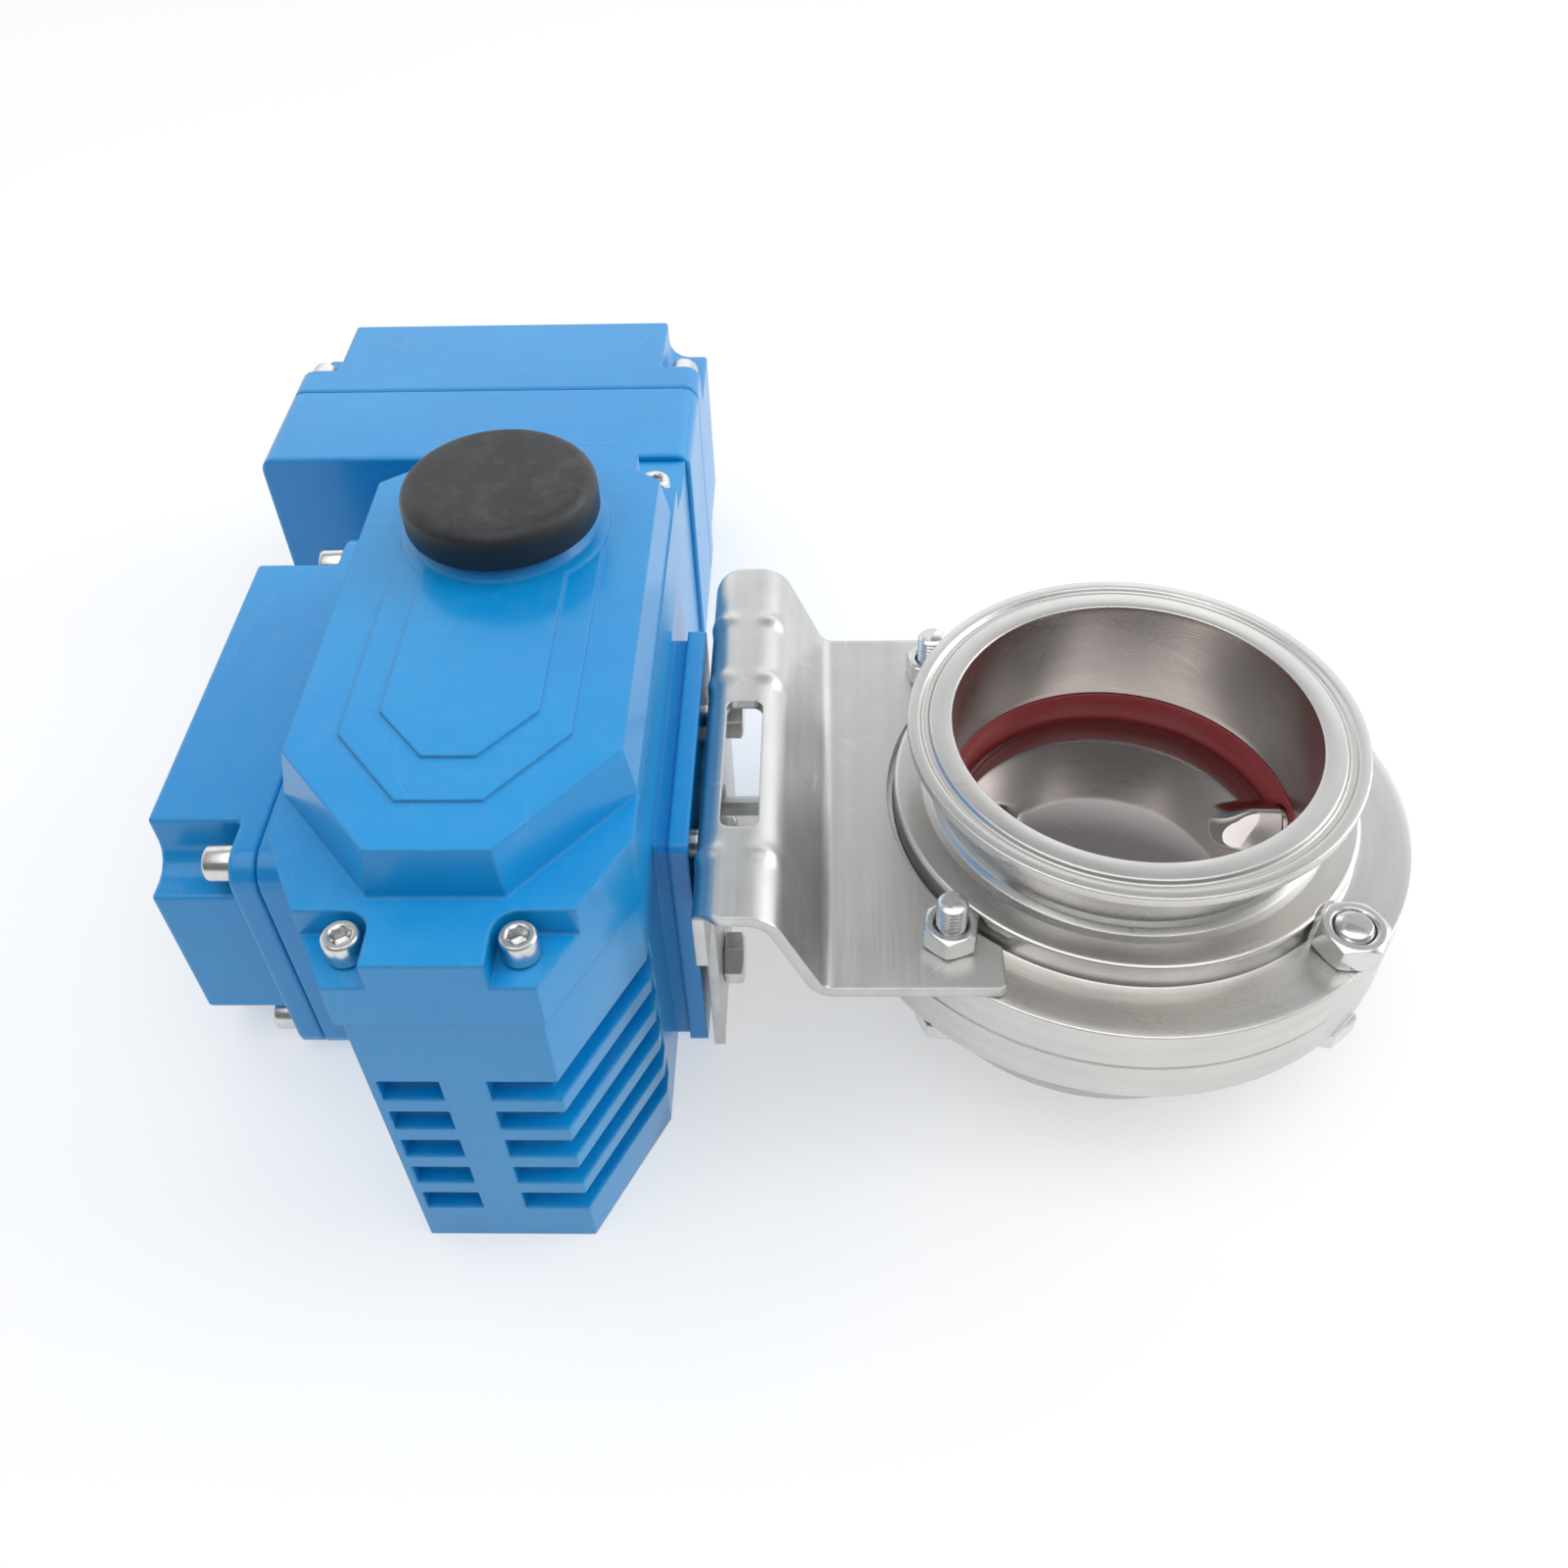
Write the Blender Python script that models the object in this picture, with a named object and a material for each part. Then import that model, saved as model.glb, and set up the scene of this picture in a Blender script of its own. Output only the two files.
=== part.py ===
"""Motor-driven hygienic butterfly valve: clamp-ended valve, sheet bracket and quarter-turn electric actuator.

Sizes are in millimetres about the valve's centre: +Z up the pipe, -X towards the actuator, -Y towards the
cooling fins. put() moves them to the part's own frame, on the middle of the base, and to metres.
"""
import math

import bmesh
import bpy
from mathutils import Matrix, Vector

for item in list(bpy.data.objects):
    bpy.data.objects.remove(item, do_unlink=True)

# ---- driving dimensions, mm ----
GAP = 0.3                       # clearance between neighbouring pieces
BORE_R = 47.8                   # valve and ferrules
TUBE_R = BORE_R + 3.0
FERRULE_R = BORE_R + 11.7
HALF_H = 43.5                   # half the face to face length
BODY_R = 77.5
FLANGE_T = 13.1                 # thickness of one body half at the rim
HUB_R, HUB_TOP = 62.4, 20.8
SEAT_R, SEAT_H = BORE_R + 9.2, 10.0
SEAT_IN = BORE_R - 1.2
DISC_R = SEAT_IN - GAP
STEM_R = 8.0
BOLT_PCR = 70.6                 # body bolts
PLATE_T = 3.0                   # bracket sheet
PLATE_HALF = 65.5               # bracket half width
WEB_TOP = 44.3
WEB_X0 = -95.0
FACE_X = -115.0                 # actuator mounting face
SPIGOT_T = 1.6
SPIGOT_R = 27.5
PAD = 42.0                      # half of the mounting pad
F07 = 24.75                     # half pitch of the actuator bolts
COUPLING_R = 11.3
ACT_X = -162.8                  # middle plane of the motor and gear tower
TOWER_HALF = 38.7
NOSE_HALF = 21.5
NOSE_Y, CHAMFER_Y = -100.0, -66.0
TOWER_BACK = 84.0
FLOOR = -HALF_H                 # both ends stand on the same plane
DECK = 52.6                     # gear cover joint
BRIM_TOP = DECK + 21.7
BRIM = 1.6                      # overhang of the gear cover
PLATEAU = BRIM_TOP + 12.2
TERRACE = 0.6                   # height of each low step on the cover
FIN_PITCH, FIN_SLOT, FIN_DEPTH = 12.7, 7.6, 4.2
CASE_X0, CASE_X1 = -256.0, -224.2   # electrical cover: end face, joint
CASE_Y0, CASE_Y1 = -40.0, 93.0
CASE_TOP = 37.0
TERM_X0, TERM_X1 = -268.0, -125.2
TERM_Y0, TERM_SEAM, TERM_Y1 = 129.0, 171.0, 216.5
TERM_TOP = 42.0
WALL = 4.5
CENTRES = 28.4                  # output shaft to worm shaft
WORM_M, WHEEL_Z = 1.5, 27
SPUR_M = 1.5
PINION_Z, IDLER_Z, SPUR_Z = 12, 32, 40
SPUR_TOP = DECK + 9.4           # top of the spur gears
SHAFT_R = 12.0
CAP_R, CAP_H = 24.8, 11.0
BOSS_R = 27.6                   # low ring under the cap
CAP_LIFT = 5.0                  # underside of the cap over the plateau
RING_SEG = 44                   # facets round the valve

WHEEL_R = WORM_M * WHEEL_Z / 2
WORM_R = CENTRES - WHEEL_R
IDLER_Y = CENTRES - SPUR_M * (SPUR_Z + IDLER_Z) / 2
MOTOR_Y = IDLER_Y - SPUR_M * (IDLER_Z + PINION_Z) / 2

X_LOW, X_HIGH = TERM_X0, BODY_R
GLAND_OUT = 20.0
Y_LOW, Y_HIGH = NOSE_Y - BRIM, TERM_Y1 + GLAND_OUT
CENTRE = Vector(((X_LOW + X_HIGH) / 2, (Y_LOW + Y_HIGH) / 2, FLOOR))

PAINT = ("paint_blue", (0.03, 0.22, 0.62), 0.0, 0.3)
STEEL = ("stainless", (0.62, 0.61, 0.59), 1.0, 0.3)
SATIN = ("stainless_sheet", (0.66, 0.66, 0.65), 1.0, 0.4)
POLISH = ("stainless_polished", (0.7, 0.68, 0.66), 1.0, 0.08)
BRIGHT = ("zinc_bright", (0.78, 0.78, 0.78), 1.0, 0.25)
SEAL = ("silicone_red", (0.3, 0.03, 0.04), 0.0, 0.5)
BLACK = ("rubber_black", (0.02, 0.02, 0.022), 0.0, 0.6)
GASKET = ("gasket_black", (0.01, 0.01, 0.012), 0.0, 0.7)
GEAR = ("gear_steel", (0.42, 0.42, 0.43), 1.0, 0.35)
BRONZE = ("bronze", (0.55, 0.38, 0.16), 1.0, 0.35)
PLASTIC = ("plastic_grey", (0.25, 0.26, 0.27), 0.0, 0.5)
WHITE = ("plastic_white", (0.8, 0.8, 0.78), 0.0, 0.5)
GLASS = ("window_clear", (0.8, 0.85, 0.88), 0.0, 0.05)


def put(points):
    """Valve-frame millimetres to the part's frame in metres."""
    return [(Vector(p) - CENTRE) * 0.001 for p in points]


def paint(obj, look):
    """A Principled material of the object's own."""
    name, colour, metal, rough = look
    mat = bpy.data.materials.new(name + "." + obj.name)
    mat.use_nodes = True
    shader = mat.node_tree.nodes["Principled BSDF"]
    shader.inputs["Base Color"].default_value = (*colour, 1.0)
    shader.inputs["Metallic"].default_value = metal
    shader.inputs["Roughness"].default_value = rough
    obj.data.materials.clear()
    obj.data.materials.append(mat)


def build(name, points, faces):
    """A closed mesh object from valve-frame points."""
    mesh = bpy.data.meshes.new(name)
    mesh.from_pydata([tuple(p) for p in put(points)], [], faces)
    bm = bmesh.new()
    bm.from_mesh(mesh)
    bmesh.ops.remove_doubles(bm, verts=bm.verts, dist=2e-6)
    bmesh.ops.recalc_face_normals(bm, faces=bm.faces)
    bm.to_mesh(mesh)
    bm.free()
    obj = bpy.data.objects.new(name, mesh)
    bpy.context.scene.collection.objects.link(obj)
    return obj


def turn(axis, along, a, b):
    """Point from a distance along an axis and two cross coordinates; the cross pair follows X, Y, Z order."""
    return {"X": (along, a, b), "Y": (a, along, b), "Z": (a, b, along)}[axis]


def loft(name, axis, rings):
    """Solid through rings of (along, [(a, b), ...]), every ring with the same number of points."""
    points, faces = [], []
    n = len(rings[0][1])
    for along, ring in rings:
        points += [turn(axis, along, a, b) for a, b in ring]
    for k in range(len(rings) - 1):
        for i in range(n):
            j = (i + 1) % n
            faces.append((k * n + i, k * n + j, (k + 1) * n + j, (k + 1) * n + i))
    faces.append(tuple(range(n)))
    faces.append(tuple(range((len(rings) - 1) * n, len(rings) * n)))
    return build(name, points, faces)


def prism(name, axis, ring, low, high):
    return loft(name, axis, [(low, ring), (high, ring)])


def block(name, xs, ys, zs):
    ring = [(xs[0], ys[0]), (xs[1], ys[0]), (xs[1], ys[1]), (xs[0], ys[1])]
    return prism(name, "Z", ring, *zs)


def lathe(name, axis, centre, profile, seg=32, start=0.0):
    """Closed profile of (radius, along) turned about an axis through centre, a cross pair."""
    points, faces = [], []
    n = len(profile)
    for s in range(seg):
        t = start + 2 * math.pi * s / seg
        for r, along in profile:
            points.append(turn(axis, along, centre[0] + r * math.cos(t), centre[1] + r * math.sin(t)))
    for s in range(seg):
        u = (s + 1) % seg
        for i in range(n):
            j = (i + 1) % n
            ids = [s * n + i, s * n + j, u * n + j, u * n + i]
            if profile[i][0] == 0.0 and profile[j][0] == 0.0:
                continue
            faces.append(tuple(ids))
    return build(name, points, faces)


def rod(name, axis, centre, radius, low, high, seg=32):
    ring = circle(centre, radius, seg)
    return prism(name, axis, ring, low, high)


def circle(centre, radius, seg, start=0.0):
    steps = [start + 2 * math.pi * s / seg for s in range(seg)]
    return [(centre[0] + radius * math.cos(t), centre[1] + radius * math.sin(t)) for t in steps]


def rounded(a0, a1, b0, b1, radius, seg=5):
    """Rectangle with rounded corners."""
    ring = []
    corners = [(a1 - radius, b0 + radius, -90), (a1 - radius, b1 - radius, 0),
               (a0 + radius, b1 - radius, 90), (a0 + radius, b0 + radius, 180)]
    for a, b, angle in corners:
        for s in range(seg + 1):
            t = math.radians(angle + 90 * s / seg)
            ring.append((a + radius * math.cos(t), b + radius * math.sin(t)))
    return ring


def notched(a0, a1, b0, b1, cut_a, cut_b, radius, seg=5):
    """Rectangle whose four corners are scooped out for the screws."""
    ring = []
    signs = [(1, -1), (1, 1), (-1, 1), (-1, -1)]
    for index, (sa, sb) in enumerate(signs):
        a = a1 if sa > 0 else a0
        b = b1 if sb > 0 else b0
        inner = (a - sa * cut_a, b - sb * cut_b)
        first = [(inner[0], b), (inner[0], b - sb * (cut_b - radius))]
        arc = []
        for s in range(1, seg):
            t = math.pi / 2 * s / seg
            arc.append((inner[0] + sa * radius * (1 - math.cos(t)), inner[1] + sb * radius * (1 - math.sin(t))))
        last = [(a - sa * (cut_a - radius), inner[1]), (a, inner[1])]
        corner = first + arc + last
        ring += corner if index % 2 == 0 else corner[::-1]
    return ring


def cut(obj, tools, operation="DIFFERENCE"):
    """Applies an exact boolean with each tool in turn and removes the tools."""
    for tool in tools:
        mod = obj.modifiers.new("cut", "BOOLEAN")
        mod.operation = operation
        mod.solver = "EXACT"
        mod.object = tool
        bpy.context.view_layer.update()
        graph = bpy.context.evaluated_depsgraph_get()
        mesh = bpy.data.meshes.new_from_object(obj.evaluated_get(graph))
        obj.modifiers.remove(mod)
        obj.data = mesh
        bpy.data.objects.remove(tool, do_unlink=True)
    return obj


def join(name, parts):
    """One object from tools that don't touch each other."""
    bm = bmesh.new()
    for part in parts:
        bm.from_mesh(part.data)
        bpy.data.objects.remove(part, do_unlink=True)
    mesh = bpy.data.meshes.new(name)
    bm.to_mesh(mesh)
    bm.free()
    obj = bpy.data.objects.new(name, mesh)
    bpy.context.scene.collection.objects.link(obj)
    return obj


def finish(obj, look, round_angle=None, pivot=None):
    """Material, shading and, for a moving piece, an origin on its joint's axis."""
    paint(obj, look)
    if pivot is not None:
        spot = put([pivot])[0]
        obj.data.transform(Matrix.Translation(-spot))
        obj.location = spot
    if round_angle:
        for poly in obj.data.polygons:
            poly.use_smooth = True
        obj.data.set_sharp_from_angle(angle=math.radians(round_angle))
    return obj





# ================= valve =================
BOLT_SPOTS = [(BOLT_PCR * sx * math.sqrt(0.5), BOLT_PCR * sy * math.sqrt(0.5))
              for sx, sy in ((-1, -1), (-1, 1), (1, -1), (1, 1))]
BOLT_R = {-1: 4.0, 1: 5.0}      # bracket side M8, free side M10
NUT_AF = {-1: 13.0, 1: 16.0}
NUT_T = {-1: 6.6, 1: 8.0}


def half_body(name, side):
    """One body half: flange, hub ring, neck and clamp ferrule; side is +1 above, -1 below."""
    h = HALF_H
    profile = [
        (BORE_R, SEAT_H + GAP), (BORE_R, h), (BORE_R + 5.6, h), (BORE_R + 6.4, h - 1.6),
        (BORE_R + 8.0, h - 1.6), (BORE_R + 8.8, h),
        (FERRULE_R, h), (FERRULE_R, h - 2.9), (TUBE_R + 0.9, h - 5.5), (TUBE_R, h - 6.6),
        (TUBE_R, HUB_TOP + 7.5), (TUBE_R + 2.2, HUB_TOP + 2.6), (TUBE_R + 7.4, HUB_TOP), (HUB_R, HUB_TOP),
        (HUB_R, FLANGE_T), (BODY_R, FLANGE_T), (BODY_R, GAP / 2), (SEAT_R + GAP, GAP / 2),
        (SEAT_R + GAP, SEAT_H + GAP),
    ]
    obj = lathe(name, "Z", (0, 0), [(r, side * z) for r, z in profile], RING_SEG)
    hole = STEM_R + 3.3
    tools = [rod("t", "X", (0, 0), hole, -BODY_R - 5, -SEAT_R + 7, 20),
             rod("t", "X", (0, 0), hole, SEAT_R - 7, 70.5, 20)]
    for x, y in BOLT_SPOTS:
        sign = 1 if x > 0 else -1
        tools.append(rod("t", "Z", (x, y), BOLT_R[sign] + GAP, -20, 30, 14))
    cut(obj, [join("tools", tools)])
    # Flats let the nuts and heads sit beside the hub ring.
    faces = [sorted((side * FLANGE_T, side * 30)) for _ in BOLT_SPOTS]
    seats = [rod("t", "Z", spot, NUT_AF[1 if spot[0] > 0 else -1] * 0.58 + 0.8, *face, 16)
             for spot, face in zip(BOLT_SPOTS, faces)]
    return finish(cut(obj, [join("seats", seats)]), STEEL, 30)


half_body("upper_body", 1)
half_body("lower_body", -1)

seat = lathe("seat_ring", "Z", (0, 0), [
    (SEAT_R, -SEAT_H), (SEAT_R, SEAT_H), (BORE_R - 0.2, SEAT_H), (SEAT_IN + 0.5, SEAT_H - 3.2),
    (SEAT_IN, 2.8), (SEAT_IN, -2.8), (SEAT_IN + 0.5, 3.2 - SEAT_H), (BORE_R - 0.2, -SEAT_H)], RING_SEG)
stem_way = ((-SEAT_R - 5, 6 - SEAT_IN), (SEAT_IN - 6, SEAT_R + 5))
cut(seat, [rod("t", "X", (0, 0), STEM_R + GAP, x0, x1, 20) for x0, x1 in stem_way])
finish(seat, SEAL, 40)

# The disc carries its two stub shafts; the outer one ends in the driving square.
HUB_HALF = math.sqrt(DISC_R ** 2 - (STEM_R + 2.0) ** 2) - GAP
SQUARE = 11.6
DRIVE_X = -BODY_R - 6.0
disc = lathe("disc", "Z", (0, 0), [
    (0, -9.0), (0.345 * DISC_R, -8.1), (0.648 * DISC_R, -5.6), (DISC_R - 2.8, -2.0), (DISC_R, -1.4),
    (DISC_R, 1.4), (DISC_R - 2.8, 2.0),
    (0.648 * DISC_R, 5.6), (0.345 * DISC_R, 8.1), (0, 9.0)], RING_SEG)
stem = prism("t", "X", circle((0, 0), STEM_R, 20), DRIVE_X, -HUB_HALF + 6)
foot = prism("t", "X", circle((0, 0), STEM_R, 20), HUB_HALF - 6, 66.0)
hub_ends = ((-HUB_HALF, 2.0), (9 - HUB_HALF, 1.0), (HUB_HALF - 9, 1.0), (HUB_HALF, 2.0))
hub = loft("t", "X", [(x, circle((0, 0), STEM_R + extra, 20)) for x, extra in hub_ends])
square = block("t", (DRIVE_X - 16, DRIVE_X + 2), (-SQUARE / 2, SQUARE / 2), (-SQUARE / 2, SQUARE / 2))
cut(disc, [hub, stem, foot, square], "UNION")
finish(disc, POLISH, 30, (0, 0, 0))

bush_in, bush_out = STEM_R + 0.25, STEM_R + 3.0
bush_spans = {"stem_bushing_drive": (-BODY_R + 0.6, -SEAT_R - 1.0), "stem_bushing_foot": (SEAT_R + 1.0, 69.8)}
for name, (x0, x1) in bush_spans.items():
    ring = lathe(name, "X", (0, 0), [(bush_in, x0), (bush_in, x1), (bush_out, x1), (bush_out, x0)], 20)
    finish(ring, BRONZE, 30)


def hexagon(centre, across, start=0.0):
    return circle(centre, across / 2 / math.cos(math.pi / 6), 6, start)


def hex_piece(name, axis, centre, across, low, high, bore=0.0, start=0.0):
    """Hexagon with its corners turned off, and a bore for a nut."""
    full, less = hexagon(centre, across, start), hexagon(centre, across * 0.92, start)
    e = 0.06 * across
    obj = loft(name, axis, [(low, less), (low + e, full), (high - e, full), (high, less)])
    if bore:
        cut(obj, [rod("t", axis, centre, bore, low - 5, high + 5, 14)])
    return obj


for index, (x, y) in enumerate(BOLT_SPOTS, 1):
    sign = 1 if x > 0 else -1
    r, across, thick = BOLT_R[sign], NUT_AF[sign], NUT_T[sign]
    base = FLANGE_T + GAP + (PLATE_T + GAP if sign < 0 else 0.0)
    top = base + thick + (8.2 if sign < 0 else 0.9)
    under = -FLANGE_T - GAP
    bolt = hex_piece(f"body_bolt_{index}", "Z", (x, y), across, under - thick * 0.8, under, start=0.4 * index)
    shank = lathe("t", "Z", (x, y), [(0, under - 1), (r, under - 1), (r, top - 0.7), (r - 0.7, top), (0, top)], 14)
    finish(cut(bolt, [shank], "UNION"), BRIGHT, 30)
    nut = hex_piece(f"body_nut_{index}", "Z", (x, y), across, base, base + thick, r + GAP, start=0.35 * index)
    finish(nut, BRIGHT, 30)

# ================= bracket =================


def bend(path, radius, seg=4):
    """Rounds the inner corners of an open path of (x, z) points."""
    out = [path[0]]
    for a, b, c in zip(path, path[1:], path[2:]):
        a, b, c = Vector(a), Vector(b), Vector(c)
        u, v = (a - b).normalized(), (c - b).normalized()
        half = u.angle(v) / 2
        reach = radius / math.tan(half)
        middle = b + (u + v).normalized() * (radius / math.sin(half))
        p, q = b + u * reach - middle, b + v * reach - middle
        for s in range(seg + 1):
            k = s / seg
            d = (p * (1 - k) + q * k).normalized() * radius
            out.append(tuple(middle + d))
    out.append(path[-1])
    return out


def thicken(path, t):
    """Closed outline of a strip of thickness t about a path."""
    left, right = [], []
    for i, p in enumerate(path):
        a, b = Vector(path[max(i - 1, 0)]), Vector(path[min(i + 1, len(path) - 1)])
        d = (b - a).normalized()
        n = Vector((-d.y, d.x)) * t / 2
        left.append(tuple(Vector(p) + n))
        right.append(tuple(Vector(p) - n))
    return left + right[::-1]


LIE = FLANGE_T + GAP + PLATE_T / 2
FLAT_X = FACE_X + SPIGOT_T + GAP + PLATE_T / 2
path = bend([(-36.0, LIE), (-82.0, LIE), (WEB_X0 + 0.5, WEB_TOP - PLATE_T / 2), (FLAT_X, WEB_TOP - PLATE_T / 2),
             (FLAT_X, -PAD)], 3.6)
bracket = prism("bracket", "Y", thicken(path, PLATE_T), -PLATE_HALF, PLATE_HALF)
arc = rod("t", "Z", (0, 0), HUB_R + 1.8, 8, 25, 64)
slot = prism("t", "Z", rounded(-107.4, -97.8, -36.6, 8.7, 4.6, 4), 38, 50)
skirt = []
for side in (-1, 1):
    skirt.append(block("t", (FLAT_X - 5, FLAT_X + 5), sorted((side * (PAD + 0.5), side * 80)), (-80, 20)))
coupling_hole = rod("t", "X", (0, 0), COUPLING_R + 3.5, FLAT_X - 5, FLAT_X + 5, 24)
bolt_holes = [rod("t", "X", (a, b), 4.5, FLAT_X - 5, FLAT_X + 5, 12)
              for a in (-F07, F07) for b in (-F07, F07)]
stud_holes = [rod("t", "Z", (x, y), 4.6, 8, 25, 12) for x, y in BOLT_SPOTS if x < 0]
cut(bracket, [arc, slot, *skirt, join("t", [coupling_hole] + bolt_holes), join("t", stud_holes)])
# Corner rounding of the web and of the outer plate corners, seen from above.
outline = []
for a, b, r, angle in ((-36.0 - 1.0, -PLATE_HALF, 1.0, -90), (-36.0 - 1.0, PLATE_HALF, 1.0, 0),
                       (FLAT_X - 2.0, PLATE_HALF, 9.0, 90), (FLAT_X - 2.0, -PLATE_HALF, 9.0, 180)):
    cx = a - r if angle in (-90, 0) else a + r
    cy = b + r if b < 0 else b - r
    for s in range(5):
        t = math.radians(angle + 90 * s / 4)
        outline.append((cx + r * math.cos(t), cy + r * math.sin(t)))
cut(bracket, [prism("t", "Z", outline, -60, 60)], "INTERSECT")
finish(bracket, SATIN, 30)

index = 0
for a in (-F07, F07):
    for b in (-F07, F07):
        index += 1
        seat_x = FLAT_X + PLATE_T / 2 + GAP
        bolt = hex_piece(f"bracket_bolt_{index}", "X", (a, b), 13.0, seat_x, seat_x + 5.4, start=0.3 * index)
        cut(bolt, [rod("t", "X", (a, b), 4.0, FACE_X - 14, seat_x + 2, 16)], "UNION")
        finish(bolt, BRIGHT, 30)

# ================= coupling and output shaft =================
JAW = 16.6
SHAFT_FACE = FACE_X - 2.0
couple = rod("coupling", "X", (0, 0), COUPLING_R, SHAFT_FACE + GAP, -BODY_R - 3.0, 28)
cut(couple, [block("t", (SHAFT_FACE - 15, SHAFT_FACE + 2), (-JAW / 2, JAW / 2), (-JAW / 2, JAW / 2))], "UNION")
hollow = SQUARE / 2 + GAP
cut(couple, [rod("t", "X", (0, 0), STEM_R + GAP, DRIVE_X - GAP, 0, 20),
             block("t", (DRIVE_X - 16 - GAP, DRIVE_X), (-hollow, hollow), (-hollow, hollow))])
finish(couple, STEEL, 30, (DRIVE_X, 0, 0))

CAM_X = -214.0
POINTER_X = CASE_X0 + 6.0
output = lathe("output_shaft", "X", (0, 0), [
    (0, SHAFT_FACE), (SHAFT_R + 2, SHAFT_FACE), (SHAFT_R + 2, ACT_X + 9), (SHAFT_R, ACT_X + 9), (SHAFT_R, CAM_X + 4),
    (5.0, CAM_X + 4), (5.0, POINTER_X + 3), (0, POINTER_X + 3)], 32)
jaw = JAW / 2 + GAP
cut(output, [block("t", (SHAFT_FACE - 15 - GAP, 0), (-jaw, jaw), (-jaw, jaw))])
finish(output, GEAR, 30, (ACT_X, 0, 0))


# ================= gears =================
def tooth_ring(teeth, module, phase=0.0, backlash=0.07):
    """Involute spur outline, teeth centred on phase; backlash is the thinning of each flank in modules."""
    pitch = module * teeth / 2
    tip, root = pitch + 0.92 * module, pitch - 1.2 * module
    base = pitch * math.cos(math.radians(20))
    inv = lambda r: math.sqrt(max((r / base) ** 2 - 1, 0)) - math.atan(math.sqrt(max((r / base) ** 2 - 1, 0)))
    half = math.pi / (2 * teeth) - backlash * module / pitch
    ring = []
    for k in range(teeth):
        middle = phase + 2 * math.pi * k / teeth
        flank = []
        for r in (root, pitch, tip):
            width = half + inv(pitch) - (inv(r) if r > base else 0.0)
            flank.append((r, min(width, math.pi / teeth * 0.94)))
        for r, w in flank:
            ring.append((r, middle - w))
        for r, w in reversed(flank):
            ring.append((r, middle + w))
    return ring


def spur(name, teeth, module, centre, low, high, phase, bore=0.0):
    ring = [(centre[0] + r * math.cos(t), centre[1] + r * math.sin(t)) for r, t in tooth_ring(teeth, module, phase)]
    obj = prism(name, "Z", ring, low, high)
    if bore:
        cut(obj, [rod("t", "Z", centre, bore, low - 5, high + 5, 24)])
    return obj


SPUR_LOW = SPUR_TOP - 6.0
# Teeth point along -Y on the worm gear, so the idler has a gap there, and likewise on to the pinion.
down = -math.pi / 2
spur_gear = spur("worm_gear", SPUR_Z, SPUR_M, (ACT_X, CENTRES), SPUR_LOW, SPUR_TOP, down, 5.0 + GAP)
finish(spur_gear, GEAR, 30, (ACT_X, CENTRES, 0))

idler_phase = math.pi / 2 + math.pi / IDLER_Z
idler = spur("idler_gear", IDLER_Z, SPUR_M, (ACT_X, IDLER_Y), SPUR_LOW, SPUR_TOP, idler_phase, 4.0 + 0.25)
finish(idler, GEAR, 30, (ACT_X, IDLER_Y, 0))
pin = rod("idler_pin", "Z", (ACT_X, IDLER_Y), 4.0, 28.4, SPUR_TOP + 4, 20)
finish(pin, GEAR, 30)

# Which way the idler's lowest tooth points fixes the pinion's phase.
step = 2 * math.pi / IDLER_Z
offset = (down - idler_phase) / step
slip = (offset - round(offset)) * step        # angle from the nearest idler tooth to straight down
pinion_phase = math.pi / 2 + math.pi / PINION_Z - slip * IDLER_Z / PINION_Z * -1
pinion = spur("motor_pinion", PINION_Z, SPUR_M, (ACT_X, MOTOR_Y), SPUR_LOW, SPUR_TOP, pinion_phase)
MOTOR_TOP = 40.0
cut(pinion, [rod("t", "Z", (ACT_X, MOTOR_Y), 3.0, MOTOR_TOP - 8, SPUR_LOW + 1, 16)], "UNION")
finish(pinion, GEAR, 30, (ACT_X, MOTOR_Y, 0))

motor = lathe("motor", "Z", (ACT_X, MOTOR_Y), [
    (0, -34.0), (8, -34.0), (8, -31.0), (22.0, -31.0), (24.0, -29.0), (24.0, MOTOR_TOP - 2), (22.0, MOTOR_TOP),
    (9, MOTOR_TOP), (9, MOTOR_TOP + 3), (3.3, MOTOR_TOP + 3), (3.3, MOTOR_TOP - 9), (0, MOTOR_TOP - 9)], 28)
finish(motor, PLASTIC, 30)

# Worm wheel: straight-sided teeth, skewed by the worm's lead angle.
LEAD = math.atan(WORM_M / (2 * WORM_R))
WHEEL_W = 9.0
rings = []
for k in range(3):
    x = ACT_X + WHEEL_W * (k / 2 - 0.5)
    skew = (x - ACT_X) * math.tan(LEAD) / WHEEL_R
    # A gap of the wheel faces the worm (+Y) in the middle plane.
    pts = tooth_ring(WHEEL_Z, WORM_M, math.pi / WHEEL_Z + skew, 0.14)
    rings.append((x, [(r * math.cos(t), r * math.sin(t)) for r, t in pts]))
wheel = loft("worm_wheel", "X", rings)
cut(wheel, [rod("t", "X", (0, 0), SHAFT_R + GAP, ACT_X - 20, ACT_X + 8.5, 32)])
finish(wheel, BRONZE, 30, (ACT_X, 0, 0))


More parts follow.
